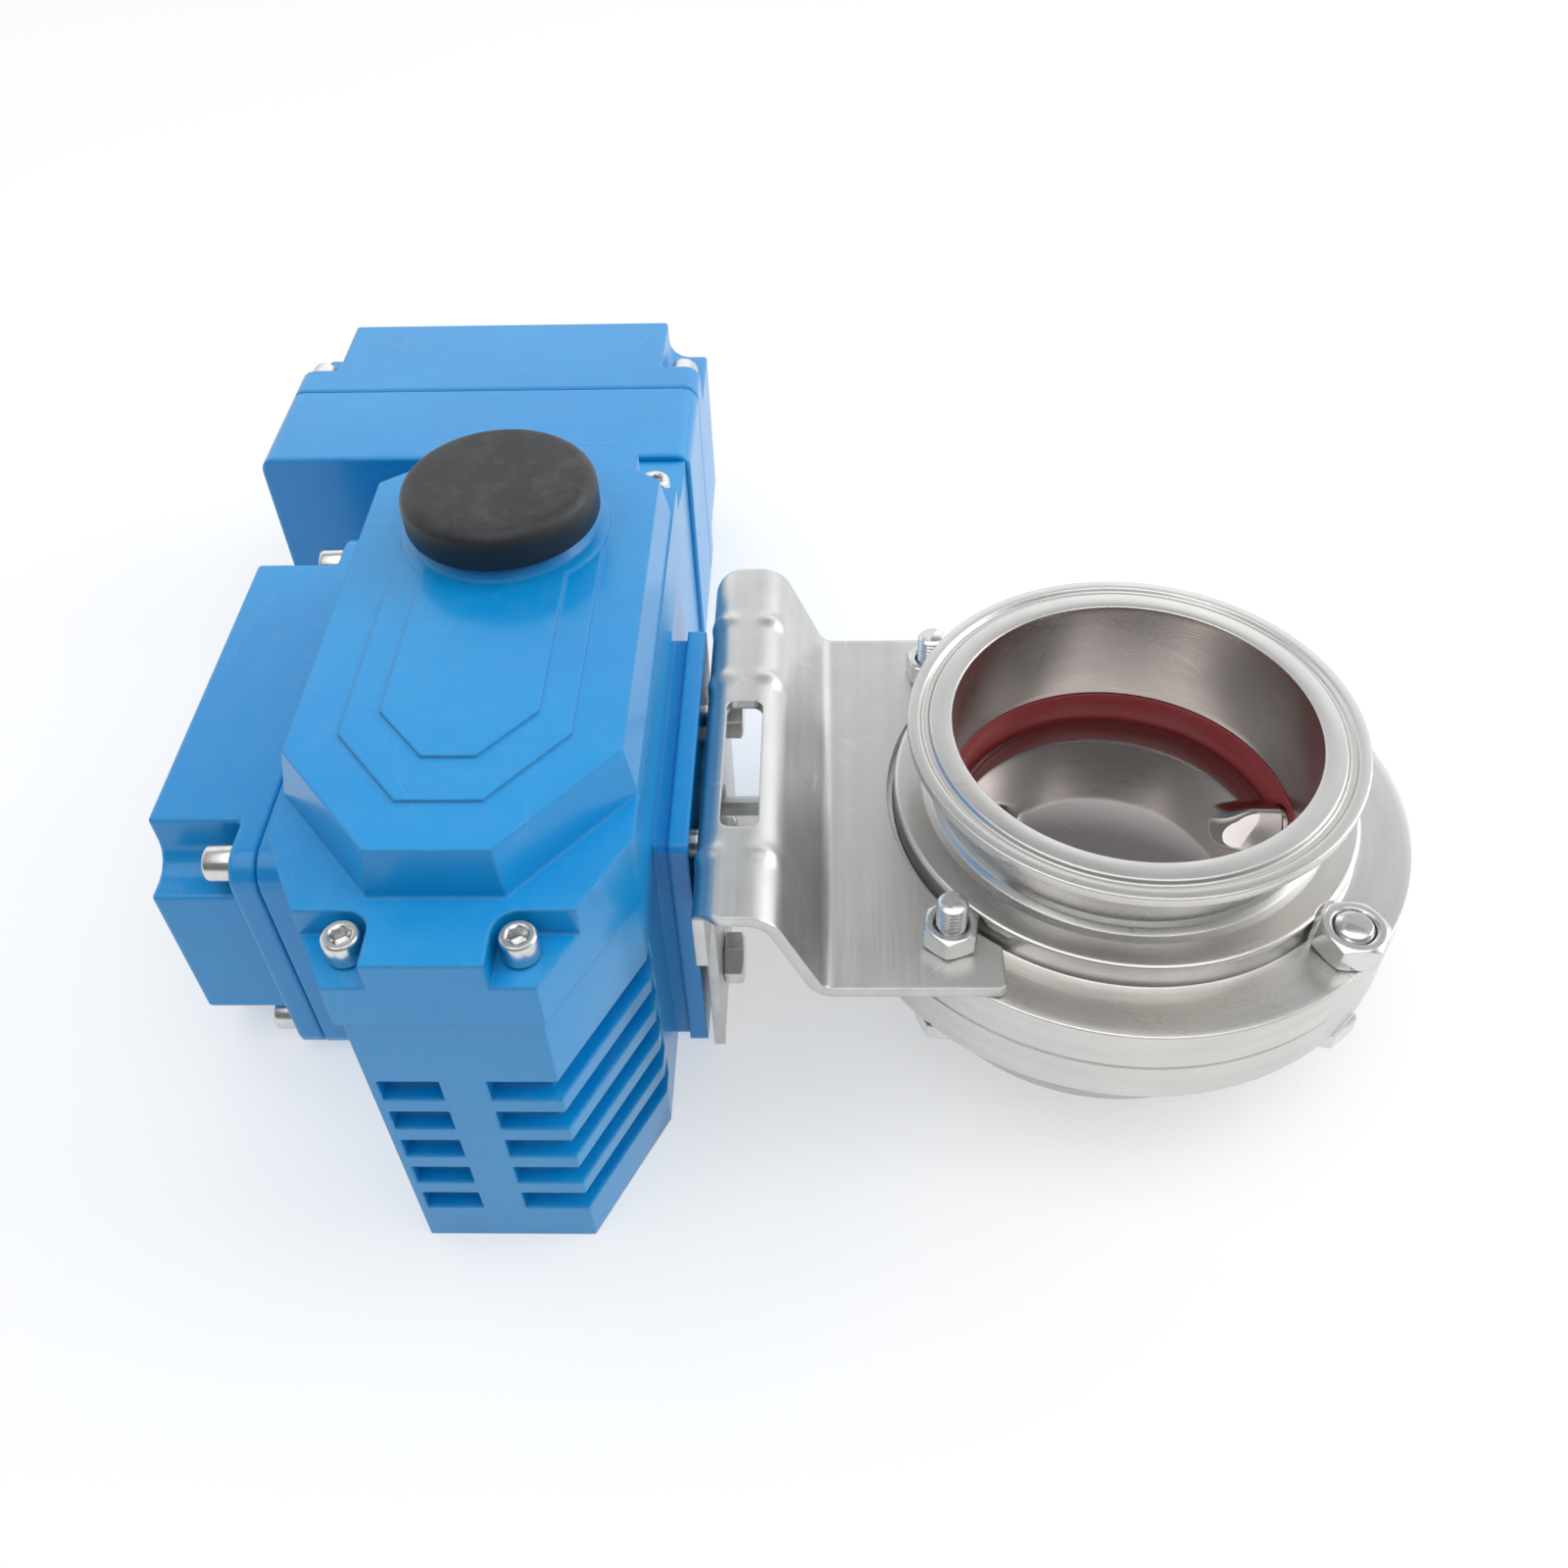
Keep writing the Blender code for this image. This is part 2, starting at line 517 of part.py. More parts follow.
def worm_body(name, centre, radius, module, low, high, seg=16):
    """Single-start thread about a vertical axis, its tooth in the middle plane facing the wheel."""
    pitch = math.pi * module
    tip, root = radius + 0.9 * module, radius - 1.15 * module
    tan20 = math.tan(math.radians(20))
    half = pitch / 4 - 0.14 * module
    flank = [(root, half + 1.15 * module * tan20), (tip, half - 0.9 * module * tan20)]
    turns = 2 * round((high - low) / pitch / 2)      # an even count leaves a whole tooth in the middle
    total = turns * seg
    points, faces = [], []
    start = -pitch * turns / 2
    for i in range(total + 1):
        t = 2 * math.pi * i / seg - math.pi / 2
        z = start + pitch * i / seg
        fade = min(1.0, i / 6, (total - i) / 6)
        c, s = math.cos(t), math.sin(t)
        for r, w, side in ((root - 1.2, flank[0][1], -1), (tip, flank[1][1], -1), (tip, flank[1][1], 1),
                           (root - 1.2, flank[0][1], 1)):
            r = root - 1.2 + (r - root + 1.2) * max(fade, 0.06)
            points.append((centre[0] + r * c, centre[1] + r * s, z + side * w))
    for i in range(total):
        for j in range(4):
            k = (j + 1) % 4
            faces.append((i * 4 + j, i * 4 + k, (i + 1) * 4 + k, (i + 1) * 4 + j))
    faces.append(tuple(range(4)))
    faces.append(tuple(range(total * 4, total * 4 + 4)))
    return build(name, points, faces), root


thread, worm_root = worm_body("t", (ACT_X, CENTRES), WORM_R, WORM_M, -12.0, 12.0)
HEX_TOP = PLATEAU + CAP_LIFT + 8.0
worm = lathe("worm_shaft", "Z", (ACT_X, CENTRES), [
    (0, -36.0), (5.0, -36.0), (5.0, -19.0), (worm_root, -17.0), (worm_root, 17.0), (6.5, 20.0),
    (6.5, SPUR_LOW - 1.5), (5.0, SPUR_LOW - 1.5), (5.0, PLATEAU - 1.0), (4.4, PLATEAU - 1.0), (4.4, HEX_TOP - 8),
    (0, HEX_TOP - 8)], 20)
cut(worm, [thread, prism("t", "Z", hexagon((ACT_X, CENTRES), 8.0), PLATEAU, HEX_TOP)], "UNION")
finish(worm, GEAR, 30, (ACT_X, CENTRES, 0))

# ================= gear housing =================


def tower(grow, back=TOWER_BACK):
    """Outline of the motor and gear tower, moved outwards by grow."""
    g = grow
    k = 0.62 * g
    ring = [(-NOSE_HALF - k, NOSE_Y - g), (NOSE_HALF + k, NOSE_Y - g), (TOWER_HALF + g, CHAMFER_Y - k),
            (TOWER_HALF + g, back - 14 + k), (NOSE_HALF + k, back + g), (-NOSE_HALF - k, back + g),
            (-TOWER_HALF - g, back - 14 + k), (-TOWER_HALF - g, CHAMFER_Y - k)]
    return [(ACT_X + a, b) for a, b in ring]


housing = prism("gear_housing", "Z", tower(0.0), FLOOR, DECK)
FLANGE_X = CASE_X1 + 0.4
bay_line = rounded(CASE_Y0 - 4.5, CASE_Y1 + 4.5, FLOOR + 0.3, CASE_TOP, 8, 4)
bay = prism("t", "X", bay_line, FLANGE_X, ACT_X - TOWER_HALF + 3)
neck = block("t", (ACT_X - 34, ACT_X + 36), (TOWER_BACK - 22, TERM_Y0 - GAP), (-38, 40))
pad_back = ACT_X + TOWER_HALF - 4
step_x = FACE_X - 5.0
pad = prism("t", "X", rounded(-PAD, PAD, -PAD, PAD, 3, 3), step_x, FACE_X)
pad_root = prism("t", "X", rounded(-PAD + 1.8, PAD - 1.8, -PAD + 0.6, PAD - 1.8, 3, 3), pad_back, step_x + 1)
spigot = rod("t", "X", (0, 0), SPIGOT_R, FACE_X - 1, FACE_X + SPIGOT_T, 32)
cut(housing, [bay, neck, pad_root, pad, spigot], "UNION")

well_motor = rod("t", "Z", (ACT_X, MOTOR_Y), 24.6, -36.5, DECK + 5, 28)
well_wheel = block("t", (ACT_X - 12, ACT_X + 11), (-25.5, CENTRES + 14), (-26.5, DECK + 5))
well_gears = prism("t", "Z", tower(-WALL, TOWER_BACK - 6), DECK - 6.6, DECK + 5)
case_bay = prism("t", "X", rounded(CASE_Y0 + 1, CASE_Y1 - 1, FLOOR + 6, CASE_TOP - 6, 6, 3), FLANGE_X - 5, -205.0)
duct = block("t", (-208, -185), (45, TERM_Y0 + 5), (-16, 16))
bore_low = rod("t", "X", (0, 0), SHAFT_R + 4.3, ACT_X + 20, 0, 28)
bore_mid = rod("t", "X", (0, 0), SHAFT_R + 2.3, ACT_X, ACT_X + 25, 28)
bore_far = rod("t", "X", (0, 0), SHAFT_R + 2.3, -206, ACT_X, 28)
worm_foot = rod("t", "Z", (ACT_X, CENTRES), 5.3, -36.5, -20, 20)
pin_hole = rod("t", "Z", (ACT_X, IDLER_Y), 4.3, 28, DECK + 7, 20)
cut(housing, [well_motor, well_wheel, well_gears, case_bay, duct, bore_low, bore_mid, bore_far, worm_foot, pin_hole])
drills = [rod("t", "X", (a, b), 4.4, FACE_X - 15, FACE_X + 5, 12) for a in (-F07, F07) for b in (-F07, F07)]
cut(housing, [join("t", drills)])

slots = []
for k in range(5):
    z = FIN_PITCH * (2 - k)
    low, high = z - FIN_SLOT / 2, z + FIN_SLOT / 2
    inner = tower(-FIN_DEPTH)
    outer = tower(3.0)
    rib = 5.4
    right = [(ACT_X + rib, NOSE_Y - 3), outer[1], outer[2], (outer[2][0], CHAMFER_Y + 6),
             (inner[2][0], CHAMFER_Y + 6), inner[2], inner[1], (ACT_X + rib, inner[1][1])]
    slots.append(prism("t", "Z", right, low, high))
    left = [(ACT_X - NOSE_HALF + 2.0, NOSE_Y - 3), (ACT_X - rib, NOSE_Y - 3), (ACT_X - rib, inner[0][1]),
            (ACT_X - NOSE_HALF + 2.0, inner[0][1])]
    slots.append(prism("t", "Z", left, low, high))
cut(housing, [join("t", slots)])

# ================= gear cover =================
POCKET_R = 5.6
COVER_SPOTS = [(-18.4, NOSE_Y + 7.2), (18.4, NOSE_Y + 7.2), (-33.6, TOWER_BACK - 14.6), (33.6, TOWER_BACK - 14.6)]
joint = DECK + 1.2
cover = prism("gear_cover", "Z", tower(BRIM), joint, BRIM_TOP)


def deck(grow):
    """Outline of the raised part of the cover."""
    g, k = grow, 0.62 * grow
    ring = [(-13.6 - k, -81.6 - g), (13.6 + k, -81.6 - g), (38.0 + g, -52.5 - k), (38.0 + g, 50.0 + k),
            (18.0 + k, 65.0 + g), (-18.0 - k, 65.0 + g), (-38.0 - g, 50.0 + k), (-38.0 - g, -52.5 - k)]
    return [(ACT_X + a, b) for a, b in ring]


raised = loft("t", "Z", [(BRIM_TOP - 2, deck(1.9)), (BRIM_TOP, deck(1.9)), (PLATEAU, deck(-0.4))])
boss = lathe("t", "Z", (ACT_X, CENTRES), [(0, PLATEAU - 2), (BOSS_R, PLATEAU - 2), (BOSS_R - 0.8, PLATEAU + 1.0),
                                          (CAP_R - 1.0, PLATEAU + 1.6), (CAP_R - 2.4, PLATEAU + CAP_LIFT - 0.8),
                                          (0, PLATEAU + CAP_LIFT - 0.8)], 36)
steps = []
for k, (side, corner, nose, front) in enumerate(((26.0, -47.5, 9.4, -67.6), (18.0, -40.7, 6.0, -55.0)), 1):
    ring = [(-nose, front), (nose, front), (side, corner), (side, CENTRES - 6), (-side, CENTRES - 6), (-side, corner)]
    steps.append(prism("t", "Z", [(ACT_X + a, b) for a, b in ring], PLATEAU - 2, PLATEAU + TERRACE * k))
cut(cover, [raised, *steps, boss], "UNION")
room = prism("t", "Z", tower(BRIM - WALL - 0.5, TOWER_BACK - 8), joint - 5, BRIM_TOP - 5)
upper = prism("t", "Z", deck(-5.0), BRIM_TOP - 8, PLATEAU - 4)
eye = rod("t", "Z", (ACT_X, CENTRES), 5.4, PLATEAU - 8, PLATEAU + 5, 20)


def scoop(dx, y, r):
    """Outline round a cover screw, open outwards to the side and to the end."""
    x, sx, sy = ACT_X + dx, math.copysign(1, dx), math.copysign(1, y)
    steps = [k * math.pi / 16 for k in range(9)]
    ring = [(x - sx * r * math.sin(t), y - sy * r * math.cos(t)) for t in steps]
    return ring + [(x - sx * r, y + sy * 40), (x + sx * 40, y + sy * 40), (x + sx * 40, y - sy * r)]


lugs = [prism("t", "Z", scoop(dx, y, POCKET_R + 2.6), joint, BRIM_TOP - 5) for dx, y in COVER_SPOTS]
cut(cover, [room, upper, eye])
cut(cover, lugs, "UNION")
cut(cover, [prism("t", "Z", tower(BRIM), joint, BRIM_TOP + 30)], "INTERSECT")
POCKET_Z = BRIM_TOP - 7.4
pockets = [prism("t", "Z", scoop(dx, y, POCKET_R), POCKET_Z, BRIM_TOP + 30) for dx, y in COVER_SPOTS]
holes = [rod("t", "Z", (ACT_X + dx, y), 2.8, joint - 5, POCKET_Z + 5, 12) for dx, y in COVER_SPOTS]
cut(cover, pockets)
cut(cover, [join("t", holes)])
finish(cover, PAINT, 30)

threads = [rod("t", "Z", (ACT_X + dx, y), 2.8, DECK - 14, DECK + 5, 12) for dx, y in COVER_SPOTS]
cut(housing, [join("t", threads)])

gasket = prism("cover_gasket", "Z", tower(-0.9), DECK + GAP / 2, joint - GAP / 2)
cut(gasket, [prism("t", "Z", tower(BRIM - WALL - 0.6, TOWER_BACK - 8.5), DECK - 5, joint + 5)])
eyes = [rod("t", "Z", (ACT_X + dx, y), 3.4, DECK - 5, joint + 5, 12) for dx, y in COVER_SPOTS]
cut(gasket, [join("t", eyes)])
finish(gasket, GASKET)


def cap_screw(name, axis, spot, r, head_r, head_h, seat, sign, reach):
    """Socket-head screw: seat is the head's underside, sign the way the head points, reach the shank's length."""
    low, high = sorted((seat, seat + sign * head_h))
    e = 0.5
    shape = [(0, seat), (head_r, seat), (head_r, seat + sign * (head_h - e)), (head_r - e, seat + sign * head_h),
             (0, seat + sign * head_h)]
    obj = lathe(name, axis, spot, shape, 16)
    a, b = sorted((seat - sign * reach, seat + sign * 1.0))
    cut(obj, [rod("t", axis, spot, r, a, b, 10)], "UNION")
    a, b = sorted((seat + sign * head_h * 0.45, seat + sign * (head_h + 2)))
    cut(obj, [prism("t", axis, hexagon(spot, r * 1.6), a, b)])
    return finish(obj, BRIGHT, 30)


for k, (dx, y) in enumerate(COVER_SPOTS, 1):
    cap_screw(f"cover_screw_{k}", "Z", (ACT_X + dx, y), 2.5, 4.25, 6.4, POCKET_Z + GAP, 1, 24.0)

# ================= override cap =================
CAP_Z = PLATEAU + CAP_LIFT
cap = lathe("override_cap", "Z", (ACT_X, CENTRES), [
    (0, HEX_TOP + 1.2), (7.5, HEX_TOP + 1.2), (7.5, CAP_Z), (CAP_R - 0.8, CAP_Z), (CAP_R, CAP_Z + 0.8),
    (CAP_R, CAP_Z + CAP_H - 4.0), (CAP_R - 1.2, CAP_Z + CAP_H - 1.4), (CAP_R - 3.6, CAP_Z + CAP_H),
    (0, CAP_Z + CAP_H)], 40)
finish(cap, BLACK, 30, (ACT_X, CENTRES, CAP_Z))

# ================= electrical cover =================
SCOOP_A, SCOOP_B = 13.0, 15.5
SCREW_R, HEAD_R, HEAD_H = 3.0, 5.0, 7.6
CASE_STEP = -231.5
case_low = FLOOR + 0.5
skirt = rounded(CASE_Y0 - 4.5, CASE_Y1 + 4.5, case_low, CASE_TOP - 0.3, 8, 4)
case = prism("electrical_cover", "X", skirt, CASE_STEP, CASE_X1)
shell = notched(CASE_Y0, CASE_Y1, case_low, CASE_TOP - 0.3, SCOOP_A, SCOOP_B, 7.0, 4)
cut(case, [prism("t", "X", shell, CASE_X0, CASE_STEP + 1)], "UNION")
inside = notched(CASE_Y0 + WALL, CASE_Y1 - WALL, case_low + WALL, CASE_TOP - 0.3 - WALL, SCOOP_A, SCOOP_B, 7.0, 4)
cut(case, [prism("t", "X", inside, CASE_X0 + 3.5, CASE_X1 + 5)])
cut(case, [rod("t", "X", (0, 0), 17.0, CASE_X0 - 5, CASE_X0 + 10, 28)])
CASE_SPOTS = [(a, b) for a in (CASE_Y0 + 4.6, CASE_Y1 - 4.6) for b in (case_low + 7.0, CASE_TOP - 7.3)]
drill = [rod("t", "X", s, SCREW_R + GAP, CASE_STEP - 5, CASE_X1 + 5, 12) for s in CASE_SPOTS]
cut(case, [join("t", drill)])
finish(case, PAINT, 30)
threads = [rod("t", "X", s, SCREW_R + GAP, CASE_X1 - 5, CASE_X1 + 13, 12) for s in CASE_SPOTS]
cut(housing, [join("t", threads)])
finish(housing, PAINT, 30)
for k, spot in enumerate(CASE_SPOTS, 1):
    cap_screw(f"case_screw_{k}", "X", spot, SCREW_R, HEAD_R, HEAD_H, CASE_STEP - GAP, -1, 18.0)

window = lathe("window", "X", (0, 0), [(0, CASE_X0 + 0.4), (15.2, CASE_X0 + 0.4), (16.7, CASE_X0 + 1.6),
                                      (16.7, CASE_X0 + 3.4), (0, CASE_X0 + 3.4)], 28)
finish(window, GLASS, 30)

pointer = lathe("pointer", "X", (0, 0), [(5.3, POINTER_X - 0.5), (5.3, POINTER_X + 2.5), (13.5, POINTER_X + 2.5),
                                        (13.5, POINTER_X - 0.5)], 24)
cut(pointer, [block("t", (POINTER_X - 1.8, POINTER_X), (-12.0, 12.0), (7.0, 9.4))], "UNION")
finish(pointer, WHITE, 30, (POINTER_X, 0, 0))

cam = lathe("switch_cam", "X", (0, 0), [(5.3, -236.0), (5.3, -222.0), (12.0, -222.0), (12.0, -236.0)], 18)
for t0, x0, x1 in ((0.5, -235.5, -230.0), (-2.2, -228.0, -222.5)):
    cut(cam, [prism("t", "X", circle((3.4 * math.cos(t0), 3.4 * math.sin(t0)), 11.6, 14), x0, x1)], "UNION")
cut(cam, [rod("t", "X", (0, 0), 5.3, -240, -218, 18)])
finish(cam, WHITE, 30, (-229.0, 0, 0))

for k, (x0, y0) in enumerate(((-235.0, 18.0), (-227.4, 18.0)), 1):
    switch = block(f"limit_switch_{k}", (x0, x0 + 6.4), (y0, y0 + 20.0), (-8.0, 6.0))
    cut(switch, [block("t", (x0 + 1.5, x0 + 4.9), (y0 + 4, y0 + 16), (5.0, 8.5))], "UNION")
    finish(switch, PLASTIC)

# ================= terminal box =================
mid_x = (TERM_X0 + TERM_X1) / 2
box = prism("terminal_box", "Y", rounded(TERM_X0, TERM_X1, -TERM_TOP, TERM_TOP, 5, 4), TERM_Y0, TERM_SEAM - GAP / 2)
box_room = rounded(TERM_X0 + WALL + 7, TERM_X1 - WALL - 7, -TERM_TOP + WALL + 3, TERM_TOP - WALL - 3, 5, 3)
cut(box, [prism("t", "Y", box_room, TERM_Y0 + WALL, TERM_SEAM + 5)])
cut(box, [block("t", (-206, -187), (TERM_Y0 - 5, TERM_Y0 + 10), (-14, 14))])
TERM_STEP = TERM_Y1 - 31.0
lid_line = rounded(TERM_X0, TERM_X1, -TERM_TOP, TERM_TOP, 5, 4)
lid = prism("terminal_cover", "Y", lid_line, TERM_SEAM + GAP / 2, TERM_STEP)
hood = notched(TERM_X0, TERM_X1, -TERM_TOP, TERM_TOP, 13.5, 14.0, 7.0, 4)
cut(lid, [prism("t", "Y", hood, TERM_STEP - 1, TERM_Y1)], "UNION")
under_hood = notched(TERM_X0 + WALL, TERM_X1 - WALL, -TERM_TOP + WALL, TERM_TOP - WALL, 13.5, 14.0, 7.0, 4)
cut(lid, [prism("t", "Y", under_hood, TERM_SEAM - 5, TERM_Y1 - WALL)])
TERM_SPOTS = [(a, b) for a in (TERM_X0 + 6.4, TERM_X1 - 6.4) for b in (-TERM_TOP + 6.4, TERM_TOP - 6.4)]
GLAND_SPOTS = [(mid_x - 30, 4.0), (mid_x + 30, 4.0)]
drill = [rod("t", "Y", s, SCREW_R + GAP, TERM_SEAM - 5, TERM_STEP + 5, 12) for s in TERM_SPOTS]
drill += [rod("t", "Y", s, 10.0 + GAP, TERM_Y1 - 10, TERM_Y1 + 5, 20) for s in GLAND_SPOTS]
cut(lid, [join("t", drill)])
finish(lid, PAINT, 30)
threads = [rod("t", "Y", s, SCREW_R + GAP, TERM_SEAM - 14, TERM_SEAM + 5, 12) for s in TERM_SPOTS]
cut(box, [join("t", threads)])
finish(box, PAINT, 30)
for k, spot in enumerate(TERM_SPOTS, 1):
    cap_screw(f"terminal_screw_{k}", "Y", spot, SCREW_R, HEAD_R, HEAD_H, TERM_STEP + GAP, 1, 24.0)

for k, spot in enumerate(GLAND_SPOTS, 1):
    gland = lathe(f"cable_gland_{k}", "Y", spot, [
        (5.2, TERM_Y1 - 8), (10.0, TERM_Y1 - 8), (10.0, TERM_Y1 + GAP), (12.6, TERM_Y1 + GAP), (12.6, TERM_Y1 + 5.5),
        (10.6, TERM_Y1 + 5.5), (10.6, TERM_Y1 + 7.0), (12.0, TERM_Y1 + 7.0), (12.0, TERM_Y1 + 15.0),
        (8.6, TERM_Y1 + GLAND_OUT), (5.2, TERM_Y1 + GLAND_OUT)], 16)
    finish(gland, BLACK, 30)

strip = block("terminal_block", (-240, -180), (TERM_Y0 + 9, TERM_Y0 + 25), (-TERM_TOP + WALL + 3 + GAP, -16))
teeth = [block("t", (-238 + 9.6 * k, -231 + 9.6 * k), (TERM_Y0 + 12, TERM_Y0 + 40), (-24, 0)) for k in range(6)]
cut(strip, [join("t", teeth)])
finish(strip, PLASTIC)

for name, x0, x1, inner, outer in (("bushing_drive", FACE_X - 22, FACE_X - 4, SHAFT_R + 2.25, SHAFT_R + 4.0),
                                   ("bushing_cam", -204.0, -190.0, SHAFT_R + 0.25, SHAFT_R + 2.0)):
    ring = lathe(name, "X", (0, 0), [(inner, x0), (inner, x1), (outer, x1), (outer, x0)], 28)
    finish(ring, BRONZE, 30)
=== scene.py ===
"""Looks of a motor-driven hygienic butterfly valve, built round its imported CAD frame."""

import math

import bmesh
import bpy
import numpy as np
from mathutils import Matrix, Vector


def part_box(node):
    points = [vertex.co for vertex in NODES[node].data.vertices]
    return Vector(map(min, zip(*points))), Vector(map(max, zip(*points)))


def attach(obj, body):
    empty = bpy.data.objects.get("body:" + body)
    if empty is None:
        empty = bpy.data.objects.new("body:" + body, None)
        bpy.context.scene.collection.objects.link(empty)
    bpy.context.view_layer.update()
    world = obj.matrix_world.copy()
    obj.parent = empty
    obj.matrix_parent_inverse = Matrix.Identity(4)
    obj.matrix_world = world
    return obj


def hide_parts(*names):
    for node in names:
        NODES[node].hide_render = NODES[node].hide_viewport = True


bl_info = {
    "name": "Motorised butterfly valve",
    "version": (1, 0, 0),
    "blender": (4, 5, 0),
    "location": "View3D > Sidebar > Valve",
    "description": "Builds the finished pieces, finishes and studio of a motor-driven butterfly valve",
    "category": "Object",
}

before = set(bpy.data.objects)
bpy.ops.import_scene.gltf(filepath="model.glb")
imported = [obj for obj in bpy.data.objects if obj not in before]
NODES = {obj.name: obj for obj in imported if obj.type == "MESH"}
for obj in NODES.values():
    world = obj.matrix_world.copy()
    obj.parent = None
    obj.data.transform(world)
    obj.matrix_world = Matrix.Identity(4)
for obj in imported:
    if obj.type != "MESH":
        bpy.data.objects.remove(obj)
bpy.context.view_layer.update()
TAU = 2 * math.pi


def middle(node, axis):
    low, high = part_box(node)
    return (low[axis] + high[axis]) / 2


def spot_of(node, a, b):
    """The middle of a node's box along two axes."""
    return middle(node, a), middle(node, b)


# ---- places taken from the frame, metres ----
VALVE = Vector((middle("upper_body", 0), middle("upper_body", 1),
                (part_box("upper_body")[1].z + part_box("lower_body")[0].z) / 2))
HALF_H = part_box("upper_body")[1].z - VALVE.z
BODY_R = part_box("upper_body")[1].x - VALVE.x
STEM = (VALVE.y, VALVE.z)
MM = 0.001


# ---- surfaces ----
def place(axis, along, a, b):
    """Points from a distance along an axis and two cross coordinates, which keep their X, Y, Z order."""
    order = {"X": (along, a, b), "Y": (a, along, b), "Z": (a, b, along)}[axis]
    return np.stack(np.broadcast_arrays(*order), axis=-1)


def around(axis, along, centre, r, t):
    """Points at the radius r and the turn t about an axis: centre + r (cos t, sin t)."""
    return place(axis, along, centre[0] + r * np.cos(t), centre[1] + r * np.sin(t))


def turns(count):
    """Even turns from 0 to a full circle, as a column."""
    return (np.arange(count) / count * TAU)[:, None]


def surface(name, points, wrap_u=True, wrap_v=False, smooth=32.0):
    """A mesh object from a grid of points P(i, j) in metres: one quad between each four neighbours.
    Its map holds the turn i / n and the length run along j, so a finish can follow the way it was turned."""
    n, m = points.shape[:2]
    iu, iv = np.meshgrid(np.arange(n if wrap_u else n - 1), np.arange(m if wrap_v else m - 1), indexing="ij")
    iu, iv = iu.ravel(), iv.ravel()
    cu = np.stack([iu, iu + 1, iu + 1, iu], axis=1)
    cv = np.stack([iv, iv, iv + 1, iv + 1], axis=1)
    faces = (cu % n) * m + (cv % m)
    steps = np.linalg.norm(np.diff(points, axis=1, append=points[:, :1]), axis=2).mean(axis=0)
    run = np.concatenate([[0.0], np.cumsum(steps)])
    mesh = bpy.data.meshes.new(name)
    mesh.from_pydata(points.reshape(-1, 3).tolist(), [], faces.tolist())
    layer = mesh.uv_layers.new(name="UVMap")
    coords = np.stack([cu / n, run[cv]], axis=-1)
    layer.data.foreach_set("uv", coords.astype(np.float32).ravel())
    return tidy(name, mesh, smooth)


def tidy(name, mesh, smooth):
    """Merges the doubles at seams and poles, turns the faces outwards and links the object."""
    bm = bmesh.new()
    bm.from_mesh(mesh)
    bmesh.ops.remove_doubles(bm, verts=bm.verts, dist=1e-7)
    bmesh.ops.dissolve_degenerate(bm, edges=bm.edges, dist=1e-8)
    bmesh.ops.recalc_face_normals(bm, faces=bm.faces)
    bm.to_mesh(mesh)
    bm.free()
    obj = bpy.data.objects.new(name, mesh)
    bpy.context.scene.collection.objects.link(obj)
    shade(obj, smooth)
    return obj


def shade(obj, angle):
    mesh = obj.data
    mesh.polygons.foreach_set("use_smooth", np.ones(len(mesh.polygons), bool))
    mesh.set_sharp_from_angle(angle=math.radians(angle))
    mesh.update()


def eased(profile, radius, steps=4):
    """A closed outline of (r, along) whose corners are rounded: each corner becomes a circular arc of the given
    radius, or of less where its sides are short. Points on the axis stay sharp."""
    p = np.asarray(profile, float)
    before, after = np.roll(p, 1, axis=0), np.roll(p, -1, axis=0)
    u, v = before - p, after - p
    lu, lv = np.linalg.norm(u, axis=1), np.linalg.norm(v, axis=1)
    u, v = u / lu[:, None], v / lv[:, None]
    half = np.arccos(np.clip((u * v).sum(axis=1), -1, 1)) / 2
    most = 0.42 * np.minimum(lu, lv)
    reach = np.minimum(radius / np.tan(half), most)
    r = reach * np.tan(half)
    bisector = u + v
    bisector /= np.maximum(np.linalg.norm(bisector, axis=1), 1e-9)[:, None]
    centre = p + bisector * (r / np.sin(half))[:, None]
    t = np.linspace(0, 1, steps + 1)[None, :, None]
    first, last = (p + u * reach[:, None] - centre)[:, None], (p + v * reach[:, None] - centre)[:, None]
    arc = first * (1 - t) + last * t
    arc *= (r / np.maximum(np.linalg.norm(arc, axis=2), 1e-12).T).T[:, :, None]
    out = []
    for k in range(len(p)):
        if p[k, 0] <= 1e-9 or half[k] > math.pi / 2 - 0.03:
            out.append(p[k])
        else:
            out.extend(centre[k] + arc[k])
    return np.array(out)


def finer(profile, step):
    """The same outline with points added so that no straight run is longer than step."""
    p = np.asarray(profile, float)
    q = np.roll(p, -1, axis=0)
    out = []
    for a, b in zip(p, q):
        count = max(1, int(np.linalg.norm(b - a) / step))
        out.append(a + (b - a) * (np.arange(count) / count)[:, None])
    return np.concatenate(out)


def turned(name, axis, centre, profile, seg=96, ease=0.0, closed=True, smooth=32.0):
    """Turned piece: P(t, j) = centre + r_j (cos t, sin t) across the axis, at a_j along it; sizes in metres."""
    p = eased(profile, ease) if ease else np.asarray(profile, float)
    t = turns(seg)
    r, a = p[None, :, 0], p[None, :, 1]
    return surface(name, around(axis, a, centre, r, t), True, closed, smooth)


def ringed(name, axis, mid, t, rows, closed, smooth):
    """A turned piece whose rows of (radius, along) may each change round the turn t."""
    r, a = (np.concatenate([np.broadcast_to(row[k], t.shape) for row in rows], axis=1) for k in (0, 1))
    return surface(name, around(axis, a, mid, r, t), True, closed, smooth)


def hexagon_reach(t, across):
    """Distance from the middle to a hexagon's side at angle t: half the flats' width over cos of the angle off
    the nearest flat."""
    return across / 2 / np.cos((t + math.pi / 6) % (math.pi / 3) - math.pi / 6)


